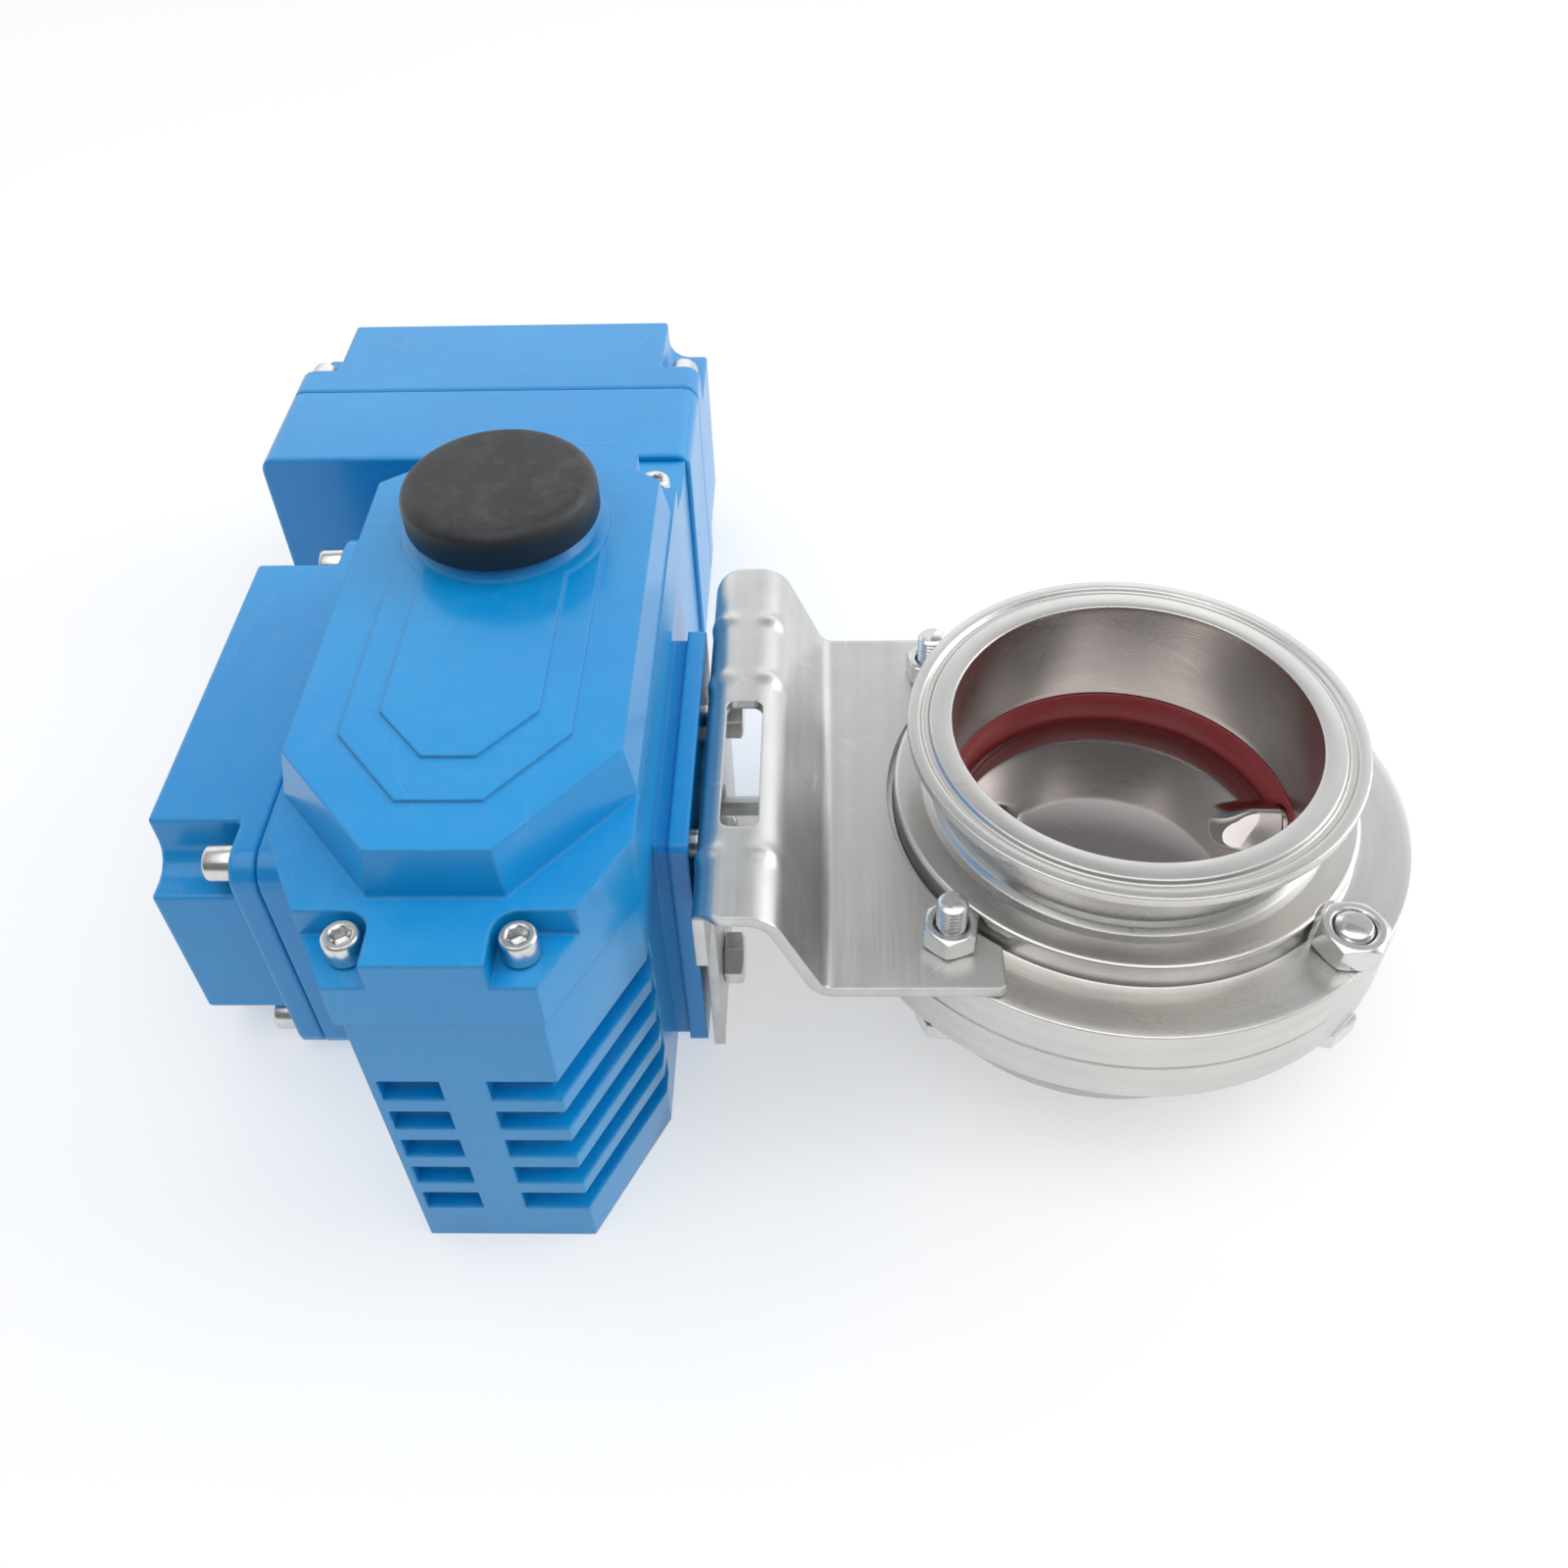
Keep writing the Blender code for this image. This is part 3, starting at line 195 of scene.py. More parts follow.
def outline_prism(name, axis, ring, low, high):
    """Closed prism over a ring of cross points."""
    ring = np.asarray(ring, float)
    mid = ring.mean(axis=0)
    rows = np.stack([np.broadcast_to(mid, ring.shape), ring, ring, np.broadcast_to(mid, ring.shape)], axis=1)
    along = np.array([low, low, high, high])[None, :]
    return surface(name, place(axis, along, rows[..., 0], rows[..., 1]), True, False)


def pin(name, axis, centre, radius, low, high, seg=48):
    return turned(name, axis, centre, [(0, low), (radius, low), (radius, high), (0, high)], seg, closed=False)


def carve(obj, tools, operation="DIFFERENCE", smooth=32.0):
    """Cuts or joins whole tools with the exact solver, then removes them."""
    for tool in tools:
        mod = obj.modifiers.new("carve", "BOOLEAN")
        mod.operation, mod.solver, mod.object = operation, "EXACT", tool
        bake_modifiers(obj)
        bpy.data.objects.remove(tool, do_unlink=True)
    shade(obj, smooth)
    return obj


def bake_modifiers(obj):
    """Puts the result of the modifiers into the object's own mesh."""
    bpy.context.view_layer.update()
    graph = bpy.context.evaluated_depsgraph_get()
    mesh = bpy.data.meshes.new_from_object(obj.evaluated_get(graph))
    obj.modifiers.clear()
    obj.data = mesh
    return obj


def together(name, parts):
    """One object from pieces that don't touch."""
    bm = bmesh.new()
    for part in parts:
        bm.from_mesh(part.data)
        bpy.data.objects.remove(part, do_unlink=True)
    mesh = bpy.data.meshes.new(name)
    bm.to_mesh(mesh)
    bm.free()
    obj = bpy.data.objects.new(name, mesh)
    bpy.context.scene.collection.objects.link(obj)
    return obj


def room_beside(corners, along=(0.04, 0.2, 0.4, 0.6, 0.8, 0.96)):
    """For each side of a flat face: how far a line square to it, drawn across the face from several places
    along it, runs before it meets a side that doesn't touch it; 1 m where it meets none."""
    n = len(corners)
    normal = np.zeros(3)
    for k in range(n):
        normal += np.cross(corners[k], corners[(k + 1) % n])
    side = np.roll(corners, -1, axis=0) - corners
    inward = np.cross(normal / (np.linalg.norm(normal) + 1e-12), side)
    inward /= np.linalg.norm(inward, axis=1)[:, None] + 1e-12
    u = side / (np.linalg.norm(side, axis=1)[:, None] + 1e-12)
    room = np.full(n, 1.0)
    if n < 4:
        return room
    for k in range(n):
        other = [j for j in range(n) if j not in (k, (k - 1) % n, (k + 1) % n)]
        away = corners[other][None] - (corners[k] + side[k] * np.array(along)[:, None])[:, None]
        x0, y0 = away @ u[k], away @ inward[k]
        dx, dy = side[other] @ u[k], side[other] @ inward[k]
        with np.errstate(divide="ignore", invalid="ignore"):
            t = -x0 / dx[None]
            met = np.where((t >= 0) & (t <= 1), y0 + t * dy[None], 1.0)
        met = met[np.isfinite(met) & (met > 1e-7)]
        room[k] = min(1.0, met.min()) if len(met) else 1.0
    return room


BEVEL_ANGLE = 28.0      # degrees between two faces above which their edge is rounded
BEVEL_SHARE = 0.42      # part of a short edge or a narrow face that one bevel may take
IN_LINE = 0.92          # cosine above which two edges count as one run


def softened(name, node, width, clamp):
    """A casting: the frame's own shape, merged, its flat faces made whole, and each edge rounded by a bevel. An
    edge beside a short edge or a narrow face gets a smaller share of the bevel, so that no two bevels meet;
    clamp also holds all of them to the narrowest place."""
    least = math.radians(BEVEL_ANGLE)
    mesh = NODES[node].data.copy()
    bm = bmesh.new()
    bm.from_mesh(mesh)
    bmesh.ops.remove_doubles(bm, verts=bm.verts, dist=3e-6)
    bmesh.ops.dissolve_limit(bm, angle_limit=math.radians(1.5), verts=bm.verts, edges=bm.edges)
    bmesh.ops.dissolve_degenerate(bm, edges=bm.edges, dist=5e-6)
    share = bm.edges.layers.float.new("bevel_weight_edge")
    room = {}
    for face in bm.faces:
        for loop, gap in zip(face.loops, room_beside(np.array([vert.co for vert in face.verts]))):
            room[loop.edge] = min(gap, room.get(loop.edge, 1.0))
    for edge in bm.edges:
        if len(edge.link_faces) != 2 or edge.calc_face_angle(0.0) < least:
            continue
        weight = min(1.0, BEVEL_SHARE * room[edge] / width)
        run = (edge.verts[1].co - edge.verts[0].co).normalized()
        for vert in edge.verts:
            for other in vert.link_edges:
                way = (other.other_vert(vert).co - vert.co).normalized()
                if other != edge and abs(way.dot(run)) < IN_LINE:
                    weight = min(weight, BEVEL_SHARE * other.calc_length() / width)
        edge[share] = weight
    bm.to_mesh(mesh)
    bm.free()
    mesh.materials.clear()
    obj = bpy.data.objects.new(name, mesh)
    bpy.context.scene.collection.objects.link(obj)
    mod = obj.modifiers.new("edges", "BEVEL")
    mod.width, mod.segments = width, 3
    mod.limit_method = "WEIGHT"
    mod.use_clamp_overlap = clamp
    mod.miter_outer = "MITER_ARC"
    shade(obj, 26.0)
    flat = obj.modifiers.new("flats", "WEIGHTED_NORMAL")
    flat.mode, flat.weight, flat.keep_sharp = "FACE_AREA", 100, False
    return bake_modifiers(obj)


def fit(obj, body, slot, material, *nodes):
    """Gives a piece its finish and its body, and hides the frame nodes it stands for; slot is not used."""
    obj.data.materials.clear()
    obj.data.materials.append(material)
    if nodes:
        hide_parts(*nodes)
    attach(obj, body)
    return obj


# ---- shader groups ----
class Tree:
    """Small helper that adds nodes to a tree and links what it is given."""

    def __init__(self, tree):
        self.tree = tree
        self.column = 0

    def add(self, kind, settings=None, **inputs):
        node = self.tree.nodes.new(kind)
        self.column += 1
        node.location = (180 * (self.column % 8), -220 * (self.column // 8))
        for key, value in (settings or {}).items():
            setattr(node, key, value)
        for key, value in inputs.items():
            index = int(key[1:]) if key[0] == "_" and key[1:].isdigit() else key.replace("_", " ")
            socket = node.inputs[index]
            if isinstance(value, bpy.types.NodeSocket):
                self.link(value, socket)
            else:
                socket.default_value = value
        return node

    def link(self, value, socket):
        self.tree.links.new(value, socket)

    def math(self, operation, a, b=0.0, clamp=False):
        return self.add("ShaderNodeMath", {"operation": operation, "use_clamp": clamp}, _0=a, _1=b).outputs[0]

    def times(self, a, b):
        return self.math("MULTIPLY", a, b)

    def plus(self, a, b):
        return self.math("ADD", a, b)

    def span(self, value, a, b, c=0.0, d=1.0):
        """Maps a..b to c..d, held at the ends."""
        return self.add("ShaderNodeMapRange", {"clamp": True}, Value=value, From_Min=a, From_Max=b,
                        To_Min=c, To_Max=d).outputs[0]

    def mix(self, factor, a, b):
        """Colour a to colour b by factor."""
        node = self.add("ShaderNodeMix", {"data_type": "RGBA"}, _0=factor, _6=a, _7=b)
        return node.outputs[2]

    def where(self):
        """Places on the piece itself."""
        return self.add("ShaderNodeTexCoord").outputs["Object"]

    def noise(self, vector, scale, detail=2.0, rough=0.5):
        return self.add("ShaderNodeTexNoise", None, Vector=vector, Scale=scale, Detail=detail,
                        Roughness=rough).outputs["Fac"]


def group(name, ins, outs):
    """A new shader node group with named sockets: ins are (name, type, default), outs (name, type)."""
    tree = bpy.data.node_groups.new(name, "ShaderNodeTree")
    for label, kind, value in ins:
        socket = tree.interface.new_socket(name=label, in_out="INPUT", socket_type=kind)
        socket.default_value = value
    for label, kind in outs:
        tree.interface.new_socket(name=label, in_out="OUTPUT", socket_type=kind)
    t = Tree(tree)
    return t, tree.nodes.new("NodeGroupInput"), tree.nodes.new("NodeGroupOutput")


FLOAT, VEC = "NodeSocketFloat", "NodeSocketVector"


def make_groups():
    """The shared surface effects."""
    made = {}

    # Edges: the bend between the true normal and one rounded over a radius, broken up by grain.
    t, i, o = group("Edge wear", [("Radius", FLOAT, 0.001), ("Grain", FLOAT, 900.0), ("Amount", FLOAT, 0.5)],
                    [("Mask", FLOAT), ("Normal", VEC)])
    soft = t.add("ShaderNodeBevel", {"samples": 4}, Radius=i.outputs["Radius"])
    true = t.add("ShaderNodeNewGeometry")
    turn = t.add("ShaderNodeVectorMath", {"operation": "DOT_PRODUCT"}, _0=soft.outputs[0],
                 _1=true.outputs["Normal"])
    bent = t.span(t.math("SUBTRACT", 1.0, turn.outputs["Value"]), 0.02, 0.2)
    where = t.where()
    grain = t.span(t.noise(where, i.outputs["Grain"], 3.0, 0.6), 0.42, 0.62)
    t.link(t.times(t.times(bent, grain), i.outputs["Amount"]), o.inputs["Mask"])
    t.link(soft.outputs[0], o.inputs["Normal"])
    made["edge"] = t.tree

    # Powder coat: broad waves with a fine pebble on top.
    t, i, o = group("Coat texture", [("Wave", FLOAT, 90.0), ("Pebble", FLOAT, 700.0)],
                    [("Height", FLOAT), ("Tone", FLOAT)])
    where = t.where()
    wave = t.noise(where, i.outputs["Wave"], 2.0, 0.5)
    pebble = t.noise(where, i.outputs["Pebble"], 1.0, 0.4)
    height = t.plus(t.times(wave, 0.7), t.times(pebble, 0.3))
    t.link(height, o.inputs["Height"])
    t.link(t.noise(where, 14.0, 3.0, 0.55), o.inputs["Tone"])
    made["coat"] = t.tree

    # Brushing: noise drawn out along one way; Stretch holds the scales along X, Y and Z.
    t, i, o = group("Brushing", [("Stretch", VEC, (8.0, 400.0, 400.0))], [("Line", FLOAT), ("Streak", FLOAT)])
    where = t.where()
    drawn = t.add("ShaderNodeVectorMath", {"operation": "MULTIPLY"}, _0=where,
                  _1=i.outputs["Stretch"]).outputs[0]
    t.link(t.noise(drawn, 4.0, 4.0, 0.65), o.inputs["Line"])
    t.link(t.noise(drawn, 0.45, 2.0, 0.5), o.inputs["Streak"])
    made["brush"] = t.tree

    # Turning: rings that follow the length run along the profile, hardly changing round the piece.
    t, i, o = group("Turning", [("Rings", FLOAT, 2500.0), ("Round", FLOAT, 2.0)],
                    [("Line", FLOAT), ("Streak", FLOAT)])
    uv = t.add("ShaderNodeSeparateXYZ", None, Vector=t.add("ShaderNodeTexCoord").outputs["UV"])
    ring = t.times(uv.outputs["Y"], i.outputs["Rings"])
    angle = t.times(uv.outputs["X"], TAU)
    c = t.times(t.math("COSINE", angle), i.outputs["Round"])
    s = t.times(t.math("SINE", angle), i.outputs["Round"])
    spot = t.add("ShaderNodeCombineXYZ", None, X=c, Y=s, Z=ring).outputs[0]
    t.link(t.noise(spot, 1.0, 3.0, 0.6), o.inputs["Line"])
    wide = t.add("ShaderNodeCombineXYZ", None, X=c, Y=s, Z=t.times(ring, 0.08)).outputs[0]
    t.link(t.noise(wide, 1.0, 2.0, 0.5), o.inputs["Streak"])
    made["turning"] = t.tree

    # Handling: cloudy smudges and a few thin scratches.
    t, i, o = group("Handling", [("Cloud", FLOAT, 22.0), ("Scratch", FLOAT, 60.0)],
                    [("Smudge", FLOAT), ("Scratches", FLOAT)])
    where = t.where()
    cloud = t.noise(where, i.outputs["Cloud"], 4.0, 0.62)
    t.link(t.span(cloud, 0.4, 0.68), o.inputs["Smudge"])
    bent = t.add("ShaderNodeTexNoise", None, Vector=where, Scale=6.0, Detail=1.0).outputs["Color"]
    moved = t.add("ShaderNodeVectorMath", {"operation": "MULTIPLY_ADD"}, _0=bent, _1=(0.05, 0.05, 0.05),
                  _2=where)
    cells = t.add("ShaderNodeTexVoronoi", {"feature": "DISTANCE_TO_EDGE"}, Vector=moved.outputs[0],
                  Scale=i.outputs["Scratch"]).outputs["Distance"]
    thin = t.span(cells, 0.0, 0.012, 1.0, 0.0)
    broken = t.span(t.noise(where, 45.0, 2.0, 0.5), 0.55, 0.62)
    t.link(t.times(thin, broken), o.inputs["Scratches"])
    made["handling"] = t.tree

    # Dust: gathers on faces that look up.
    t, i, o = group("Dust", [("Amount", FLOAT, 0.2)], [("Mask", FLOAT)])
    facing = t.add("ShaderNodeNewGeometry").outputs["Normal"]
    up = t.add("ShaderNodeSeparateXYZ", None, Vector=facing).outputs["Z"]
    where = t.where()
    fine = t.span(t.noise(where, 160.0, 4.0, 0.7), 0.48, 0.75)
    lie = t.span(up, 0.35, 0.95)
    t.link(t.times(t.times(fine, lie), i.outputs["Amount"]), o.inputs["Mask"])
    made["dust"] = t.tree
    return made


GROUPS = {}
FINISHES = {}


def rgb(colour):
    return (*colour[:3], 1.0)


def start(name):
    """A new material with its tree helper and its shader."""
    mat = bpy.data.materials.new(name)
    mat.use_nodes = True
    t = Tree(mat.node_tree)
    return mat, t, mat.node_tree.nodes["Principled BSDF"]


def use(t, key, **inputs):
    node = t.add("ShaderNodeGroup", {"node_tree": GROUPS[key]})
    for label, value in inputs.items():
        node.inputs[label].default_value = value
    return node.outputs


def bump(t, height, distance, normal=None, strength=1.0):
    node = t.add("ShaderNodeBump", None, Height=height, Distance=distance, Strength=strength)
    if normal is not None:
        t.link(normal, node.inputs["Normal"])
    return node.outputs[0]


def wire(t, shader, colour, rough, normal=None, **values):
    """Links a finish's colour, roughness and normal, and sets the shader's other inputs."""
    t.link(colour, shader.inputs["Base Color"])
    t.link(rough, shader.inputs["Roughness"])
    if normal is not None:
        t.link(normal, shader.inputs["Normal"])
    for label, value in values.items():
        shader.inputs[label.replace("_", " ")].default_value = value


def paint_finish(name, colour, deep, radius, coat=0.2, rough=0.3):
    """Gloss powder coat: two tones of one blue, pebbled skin, soft bright edges, dust and faint rubs."""
    mat, t, shader = start(name)
    coat_out = use(t, "coat", Wave=120.0, Pebble=820.0)
    edge = use(t, "edge", Radius=radius, Grain=700.0, Amount=0.22)
    hand = use(t, "handling", Cloud=18.0, Scratch=34.0)
    dust = use(t, "dust", Amount=0.03)
    base = t.mix(t.span(coat_out["Tone"], 0.35, 0.65), rgb(colour), rgb(deep))
    worn = t.mix(edge["Mask"], base, rgb([min(1.0, c * 1.35 + 0.05) for c in colour]))
    pale = t.mix(dust["Mask"], worn, (0.62, 0.66, 0.72, 1.0))
    lines = t.mix(t.times(hand["Scratches"], 0.05), pale, (0.5, 0.62, 0.8, 1.0))
    gloss = t.plus(t.times(hand["Smudge"], 0.05), rough - 0.02)
    wire(t, shader, lines, t.plus(gloss, t.times(dust["Mask"], 0.4)),
         bump(t, coat_out["Height"], 0.00006, edge["Normal"], 0.55),
         Coat_Weight=coat, Coat_Roughness=0.12, IOR=1.5)
    return mat


def turned_finish(name, colour, rough=0.26, rings=2600.0, depth=0.000012, aniso=0.35):
    """Turned stainless: fine rings, slow streaks of tone, rubbed edges and fingermarks."""
    mat, t, shader = start(name)
    turn = use(t, "turning", Rings=rings, Round=1.6)
    hand = use(t, "handling", Cloud=26.0, Scratch=48.0)
    edge = use(t, "edge", Radius=0.0006, Grain=900.0, Amount=0.55)
    dark = [c * 0.9 for c in colour]
    base = t.mix(t.span(turn["Streak"], 0.3, 0.7), rgb(dark), rgb(colour))
    bright = t.mix(edge["Mask"], base, (0.86, 0.85, 0.83, 1.0))
    smeared = t.mix(t.times(hand["Smudge"], 0.22), bright, rgb([c * 0.7 for c in colour]))
    value = t.plus(t.times(turn["Line"], 0.10), rough - 0.05)
    value = t.plus(value, t.times(hand["Smudge"], 0.07))
    value = t.math("SUBTRACT", value, t.times(hand["Scratches"], 0.08))
    wire(t, shader, smeared, value, bump(t, turn["Line"], depth, edge["Normal"], 0.7), Metallic=1.0,
         Anisotropic=aniso)
    return mat


def brushed_finish(name, colour, stretch, rough=0.33, depth=0.00001):
    """Brushed sheet: drawn lines, cloudy smears and short scratches."""
    mat, t, shader = start(name)
    line = use(t, "brush", Stretch=stretch)
    hand = use(t, "handling", Cloud=30.0, Scratch=52.0)
    edge = use(t, "edge", Radius=0.0005, Grain=900.0, Amount=0.5)
    base = t.mix(t.span(line["Streak"], 0.3, 0.7), rgb([c * 0.86 for c in colour]), rgb(colour))
    dull = t.mix(t.times(hand["Smudge"], 0.35), base, rgb([c * 0.66 for c in colour]))
    lit = t.mix(t.times(hand["Scratches"], 0.5), dull, (0.9, 0.9, 0.88, 1.0))
    value = t.plus(t.times(line["Line"], 0.2), rough - 0.1)
    value = t.plus(value, t.times(hand["Smudge"], 0.1))
    wire(t, shader, t.mix(edge["Mask"], lit, (0.85, 0.85, 0.84, 1.0)), value,
         bump(t, line["Line"], depth, edge["Normal"], 0.6), Metallic=1.0)
    return mat


def polished_finish(name, colour):
    """Mirror-polished stainless with faint hairlines and a slight haze."""
    mat, t, shader = start(name)
    hand = use(t, "handling", Cloud=16.0, Scratch=70.0)
    line = use(t, "brush", Stretch=(260.0, 30.0, 260.0))
    base = t.mix(t.times(hand["Smudge"], 0.4), rgb(colour), rgb([c * 0.82 for c in colour]))
    haze = t.plus(t.times(hand["Smudge"], 0.05), 0.045)
    haze = t.plus(haze, t.times(hand["Scratches"], 0.12))
    wire(t, shader, base, haze, bump(t, line["Line"], 0.000004, None, 0.3), Metallic=1.0)
    return mat


def dull_finish(name, colour, light, rough, grain=420.0, depth=0.00004, dusty=0.1):
    """Moulded rubber or plastic: fine pebble, cloudy tone, paler worn edges and a little dust."""
    mat, t, shader = start(name)
    skin = use(t, "coat", Wave=grain * 0.25, Pebble=grain * 2.6)
    edge = use(t, "edge", Radius=0.0007, Grain=800.0, Amount=0.6)
    hand = use(t, "handling", Cloud=24.0, Scratch=30.0)
    dust = use(t, "dust", Amount=dusty)
    base = t.mix(t.span(skin["Tone"], 0.3, 0.7), rgb(colour), rgb(light))
    rubbed = t.mix(edge["Mask"], base, rgb([min(1.0, c * 1.7 + 0.02) for c in light]))
    value = t.plus(t.times(hand["Smudge"], 0.12), rough - 0.04)
    wire(t, shader, t.mix(dust["Mask"], rubbed, (0.55, 0.54, 0.52, 1.0)), value,
         bump(t, skin["Height"], depth, edge["Normal"], 0.6), IOR=1.5)
    return mat


def clear_finish(name):
    """Clear moulded window with light scuffs."""
    mat, t, shader = start(name)
    hand = use(t, "handling", Cloud=40.0, Scratch=50.0)
    pale = t.mix(hand["Smudge"], (0.93, 0.96, 0.97, 1.0), (0.86, 0.9, 0.92, 1.0))
    wire(t, shader, pale, t.plus(t.times(hand["Smudge"], 0.08), 0.03), Transmission_Weight=0.9, IOR=1.49)
    return mat


def make_finishes(look):
    """Every finish that the pieces and the frame's own nodes use."""
    GROUPS.update(make_groups())
    steel = tuple(look.steel_colour)
    blue, deep = tuple(look.paint_colour), tuple(c * f for c, f in zip(look.paint_colour, (0.6, 0.9, 0.96)))
    FINISHES.update({
        "paint": paint_finish("blue_powder_coat", blue, deep, look.edge_radius),
        "valve": turned_finish("turned_stainless", steel, 0.27, 2600.0, 0.000008, 0.25),
        "sheet": brushed_finish("brushed_sheet", (0.66, 0.655, 0.64), (300.0, 9.0, 300.0)),
        # painted dark reflection: the disc's steel colour is darkened and warmed below polished stainless's
        # own, standing in for the dark, red-tinted surroundings the disc mirrors
        "polish_dark_reflection": polished_finish("polished_stainless_dark_reflection", (0.46, 0.42, 0.41)),
        "bright": turned_finish("bright_fastener", (0.75, 0.75, 0.74), 0.2, 5200.0, 0.000008, 0.0),
        "silicone": dull_finish("red_silicone", tuple(look.seal_colour), (0.33, 0.045, 0.05), 0.34, 300.0,
                                0.00002, 0.02),
        "cap": dull_finish("black_rubber_cap", tuple(look.cap_colour), (0.016, 0.017, 0.02), 0.46, 520.0,
                           0.00003, 0.05),
        "gasket": dull_finish("black_gasket", (0.008, 0.008, 0.009), (0.014, 0.014, 0.015), 0.7),
        "gear": turned_finish("oiled_gear_steel", (0.4, 0.4, 0.41), 0.3),
        "coupling": turned_finish("coupling_stainless", (0.52, 0.52, 0.51), 0.32),
        "bronze": turned_finish("machined_bronze", (0.56, 0.37, 0.16), 0.3),
        "gland": dull_finish("black_nylon", (0.012, 0.012, 0.013), (0.024, 0.024, 0.026), 0.42),
        "dark": dull_finish("grey_plastic", (0.2, 0.21, 0.22), (0.27, 0.28, 0.29), 0.45),
        "motor": dull_finish("black_motor_enamel", (0.03, 0.03, 0.032), (0.05, 0.05, 0.053), 0.35),
        "white": dull_finish("white_plastic", (0.74, 0.74, 0.71), (0.82, 0.82, 0.79), 0.42),
        "clear": clear_finish("clear_window"),
    })


# ---- the valve ----
def about_valve(points):
    """(radius, height) pairs in millimetres about the valve's centre, to metres in the frame."""
    p = np.asarray(points, float) * MM
    return p + np.array([0.0, VALVE.z])


def body_half(name, side, size):
    """One turned half: the rim, its slanted back, the neck, the hub ring and the flange, with the stem's hole,
    the bolt holes and their flats."""
    h = HALF_H / MM
    rim = BODY_R / MM
    profile = [
        (47.8, 10.3), (47.8, h), (53.5, h), (54.3, h - 1.1), (55.7, h - 1.1), (56.5, h),
        (59.5, h), (59.5, h - 2.9), (51.7, h - 5.5), (50.8, h - 6.9),
        (50.8, 24.6), (51.4, 22.7), (52.9, 21.3), (54.9, 20.8), (61.5, 20.8), (62.1, 20.5), (62.4, 19.9),
        (62.4, 13.1), (rim, 13.1), (rim, 0.15), (57.3, 0.15), (57.3, 10.3),
    ]
    p = eased(np.asarray(profile) * [1, side], size.steel_ease / MM, 3)
    p = finer(p, 2.0)
    obj = turned(name, "Z", VALVE.xy, about_valve(p), size.round_segments)
    tools = [pin("hole", "X", STEM, 0.0113, VALVE.x - 0.0825, VALVE.x - 0.050),
             pin("hole", "X", STEM, 0.0113, VALVE.x + 0.050, VALVE.x + 0.0705)]
    seats = []
    for k in range(1, 5):
        spot = spot_of(f"body_nut_{k}", 0, 1)
        far = spot[0] > VALVE.x
        tools.append(pin("hole", "Z", spot, 0.0053 if far else 0.0043, VALVE.z - 0.02, VALVE.z + 0.03))
        face = sorted((VALVE.z + side * 0.0131, VALVE.z + side * 0.03))
        seats.append(pin("seat", "Z", spot, 0.00965 if far else 0.0080, *face))
    return carve(obj, [together("holes", tools), together("seats", seats)])


def make_seat(size):
    """Silicone ring, its face bowed in between its two edges and let in for the stems."""
    v = np.linspace(-1, 1, 25)
    inner = np.stack([46.5 + 1.1 * np.abs(v) ** 2.6, -10.0 * v], axis=1)
    outer = np.array([(57.0, -10.0), (57.0, 10.0)])
    p = np.concatenate([inner, outer])
    obj = turned("seat_ring_moulded", "Z", VALVE.xy, about_valve(p), size.round_segments, smooth=50)
    holes = [pin("hole", "X", STEM, 0.0083, VALVE.x - 0.064, VALVE.x - 0.040),
             pin("hole", "X", STEM, 0.0083, VALVE.x + 0.040, VALVE.x + 0.064)]
    return carve(obj, [together("holes", holes)], smooth=50)


def make_disc(size):
    """Disc: half thickness D(r) = 2 + 3.6 (1 - (r / 43.5)^2) mm, then a land that falls to 1.3 mm at the rim;
    towards the stems it grows into bosses of height 9.4 exp(-(y / 8.5)^2), faded in over 14 mm, and the rim is
    rounded."""
    reach, land = 46.3, 43.5
    r = reach * np.sin(np.linspace(0, math.pi / 2, 90))
    t = turns(size.round_segments)
    x, y = r[None] * np.cos(t), r[None] * np.sin(t)
    dome = np.where(r < land, 2.0 + 3.6 * (1 - (r / land) ** 2), 1.8 - 0.5 * (r - land) / (reach - land))[None]
    fade = np.clip((np.abs(x) - 25) / 14, 0, 1)
    boss = 9.4 * np.exp(-(y / 8.5) ** 2)
    half = dome + np.clip(boss - dome, 0, None) * fade * fade * (3 - 2 * fade)
    half = half * np.sqrt(np.clip(1 - np.clip((r / reach - 0.975) / 0.026, 0, 1) ** 2, 0.06, 1))[None]
    top = np.stack([x, y, half], axis=-1)
    bottom = top[:, ::-1] * [1, 1, -1]
    points = np.concatenate([top, bottom], axis=1) * MM + np.array(VALVE)
    obj = surface("disc_polished", points, True, False, 40)
    stem = pin("stem", "X", STEM, 0.008, VALVE.x - 0.0835, VALVE.x - 0.041)
    foot = turned("foot", "X", STEM, [(0, VALVE.x + 0.041), (0.008, VALVE.x + 0.041),
                  (0.008, VALVE.x + 0.0652), (0.0072, VALVE.x + 0.066), (0, VALVE.x + 0.066)], 64, closed=False)
    flat = 0.0058
    ring = [(STEM[0] + a * flat, STEM[1] + b * flat) for a, b in ((-1, -1), (1, -1), (1, 1), (-1, 1))]
    square = outline_prism("square", "X", ring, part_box("disc")[0].x, VALVE.x - 0.0815)
    return carve(obj, [stem, foot, square], "UNION", 35)


# ---- fasteners ----
TAN_30 = math.tan(math.radians(30))


def nut(name, node, across, bore, phase):
    """Hexagon nut: side radius R(t) follows the hexagon, and both faces fall away past 0.95 of half the width
    as a 30 degree cone, so the corners are turned off; the bore opens in a small countersink."""
    low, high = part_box(node)
    z0, z1 = low.z, high.z
    t = turns(96)
    reach = hexagon_reach(t - phase, across)
    flat = across / 2 * 0.95
    drop = (reach - flat) * TAN_30
    sink = 0.0006
    rows = [(bore, z0 + sink), (bore + sink, z0), (flat, z0), (reach, z0 + drop),
            (reach, z1 - drop), (flat, z1), (bore + sink, z1), (bore, z1 - sink)]
    return ringed(name, "Z", spot_of(node, 0, 1), t, rows, True, 26)


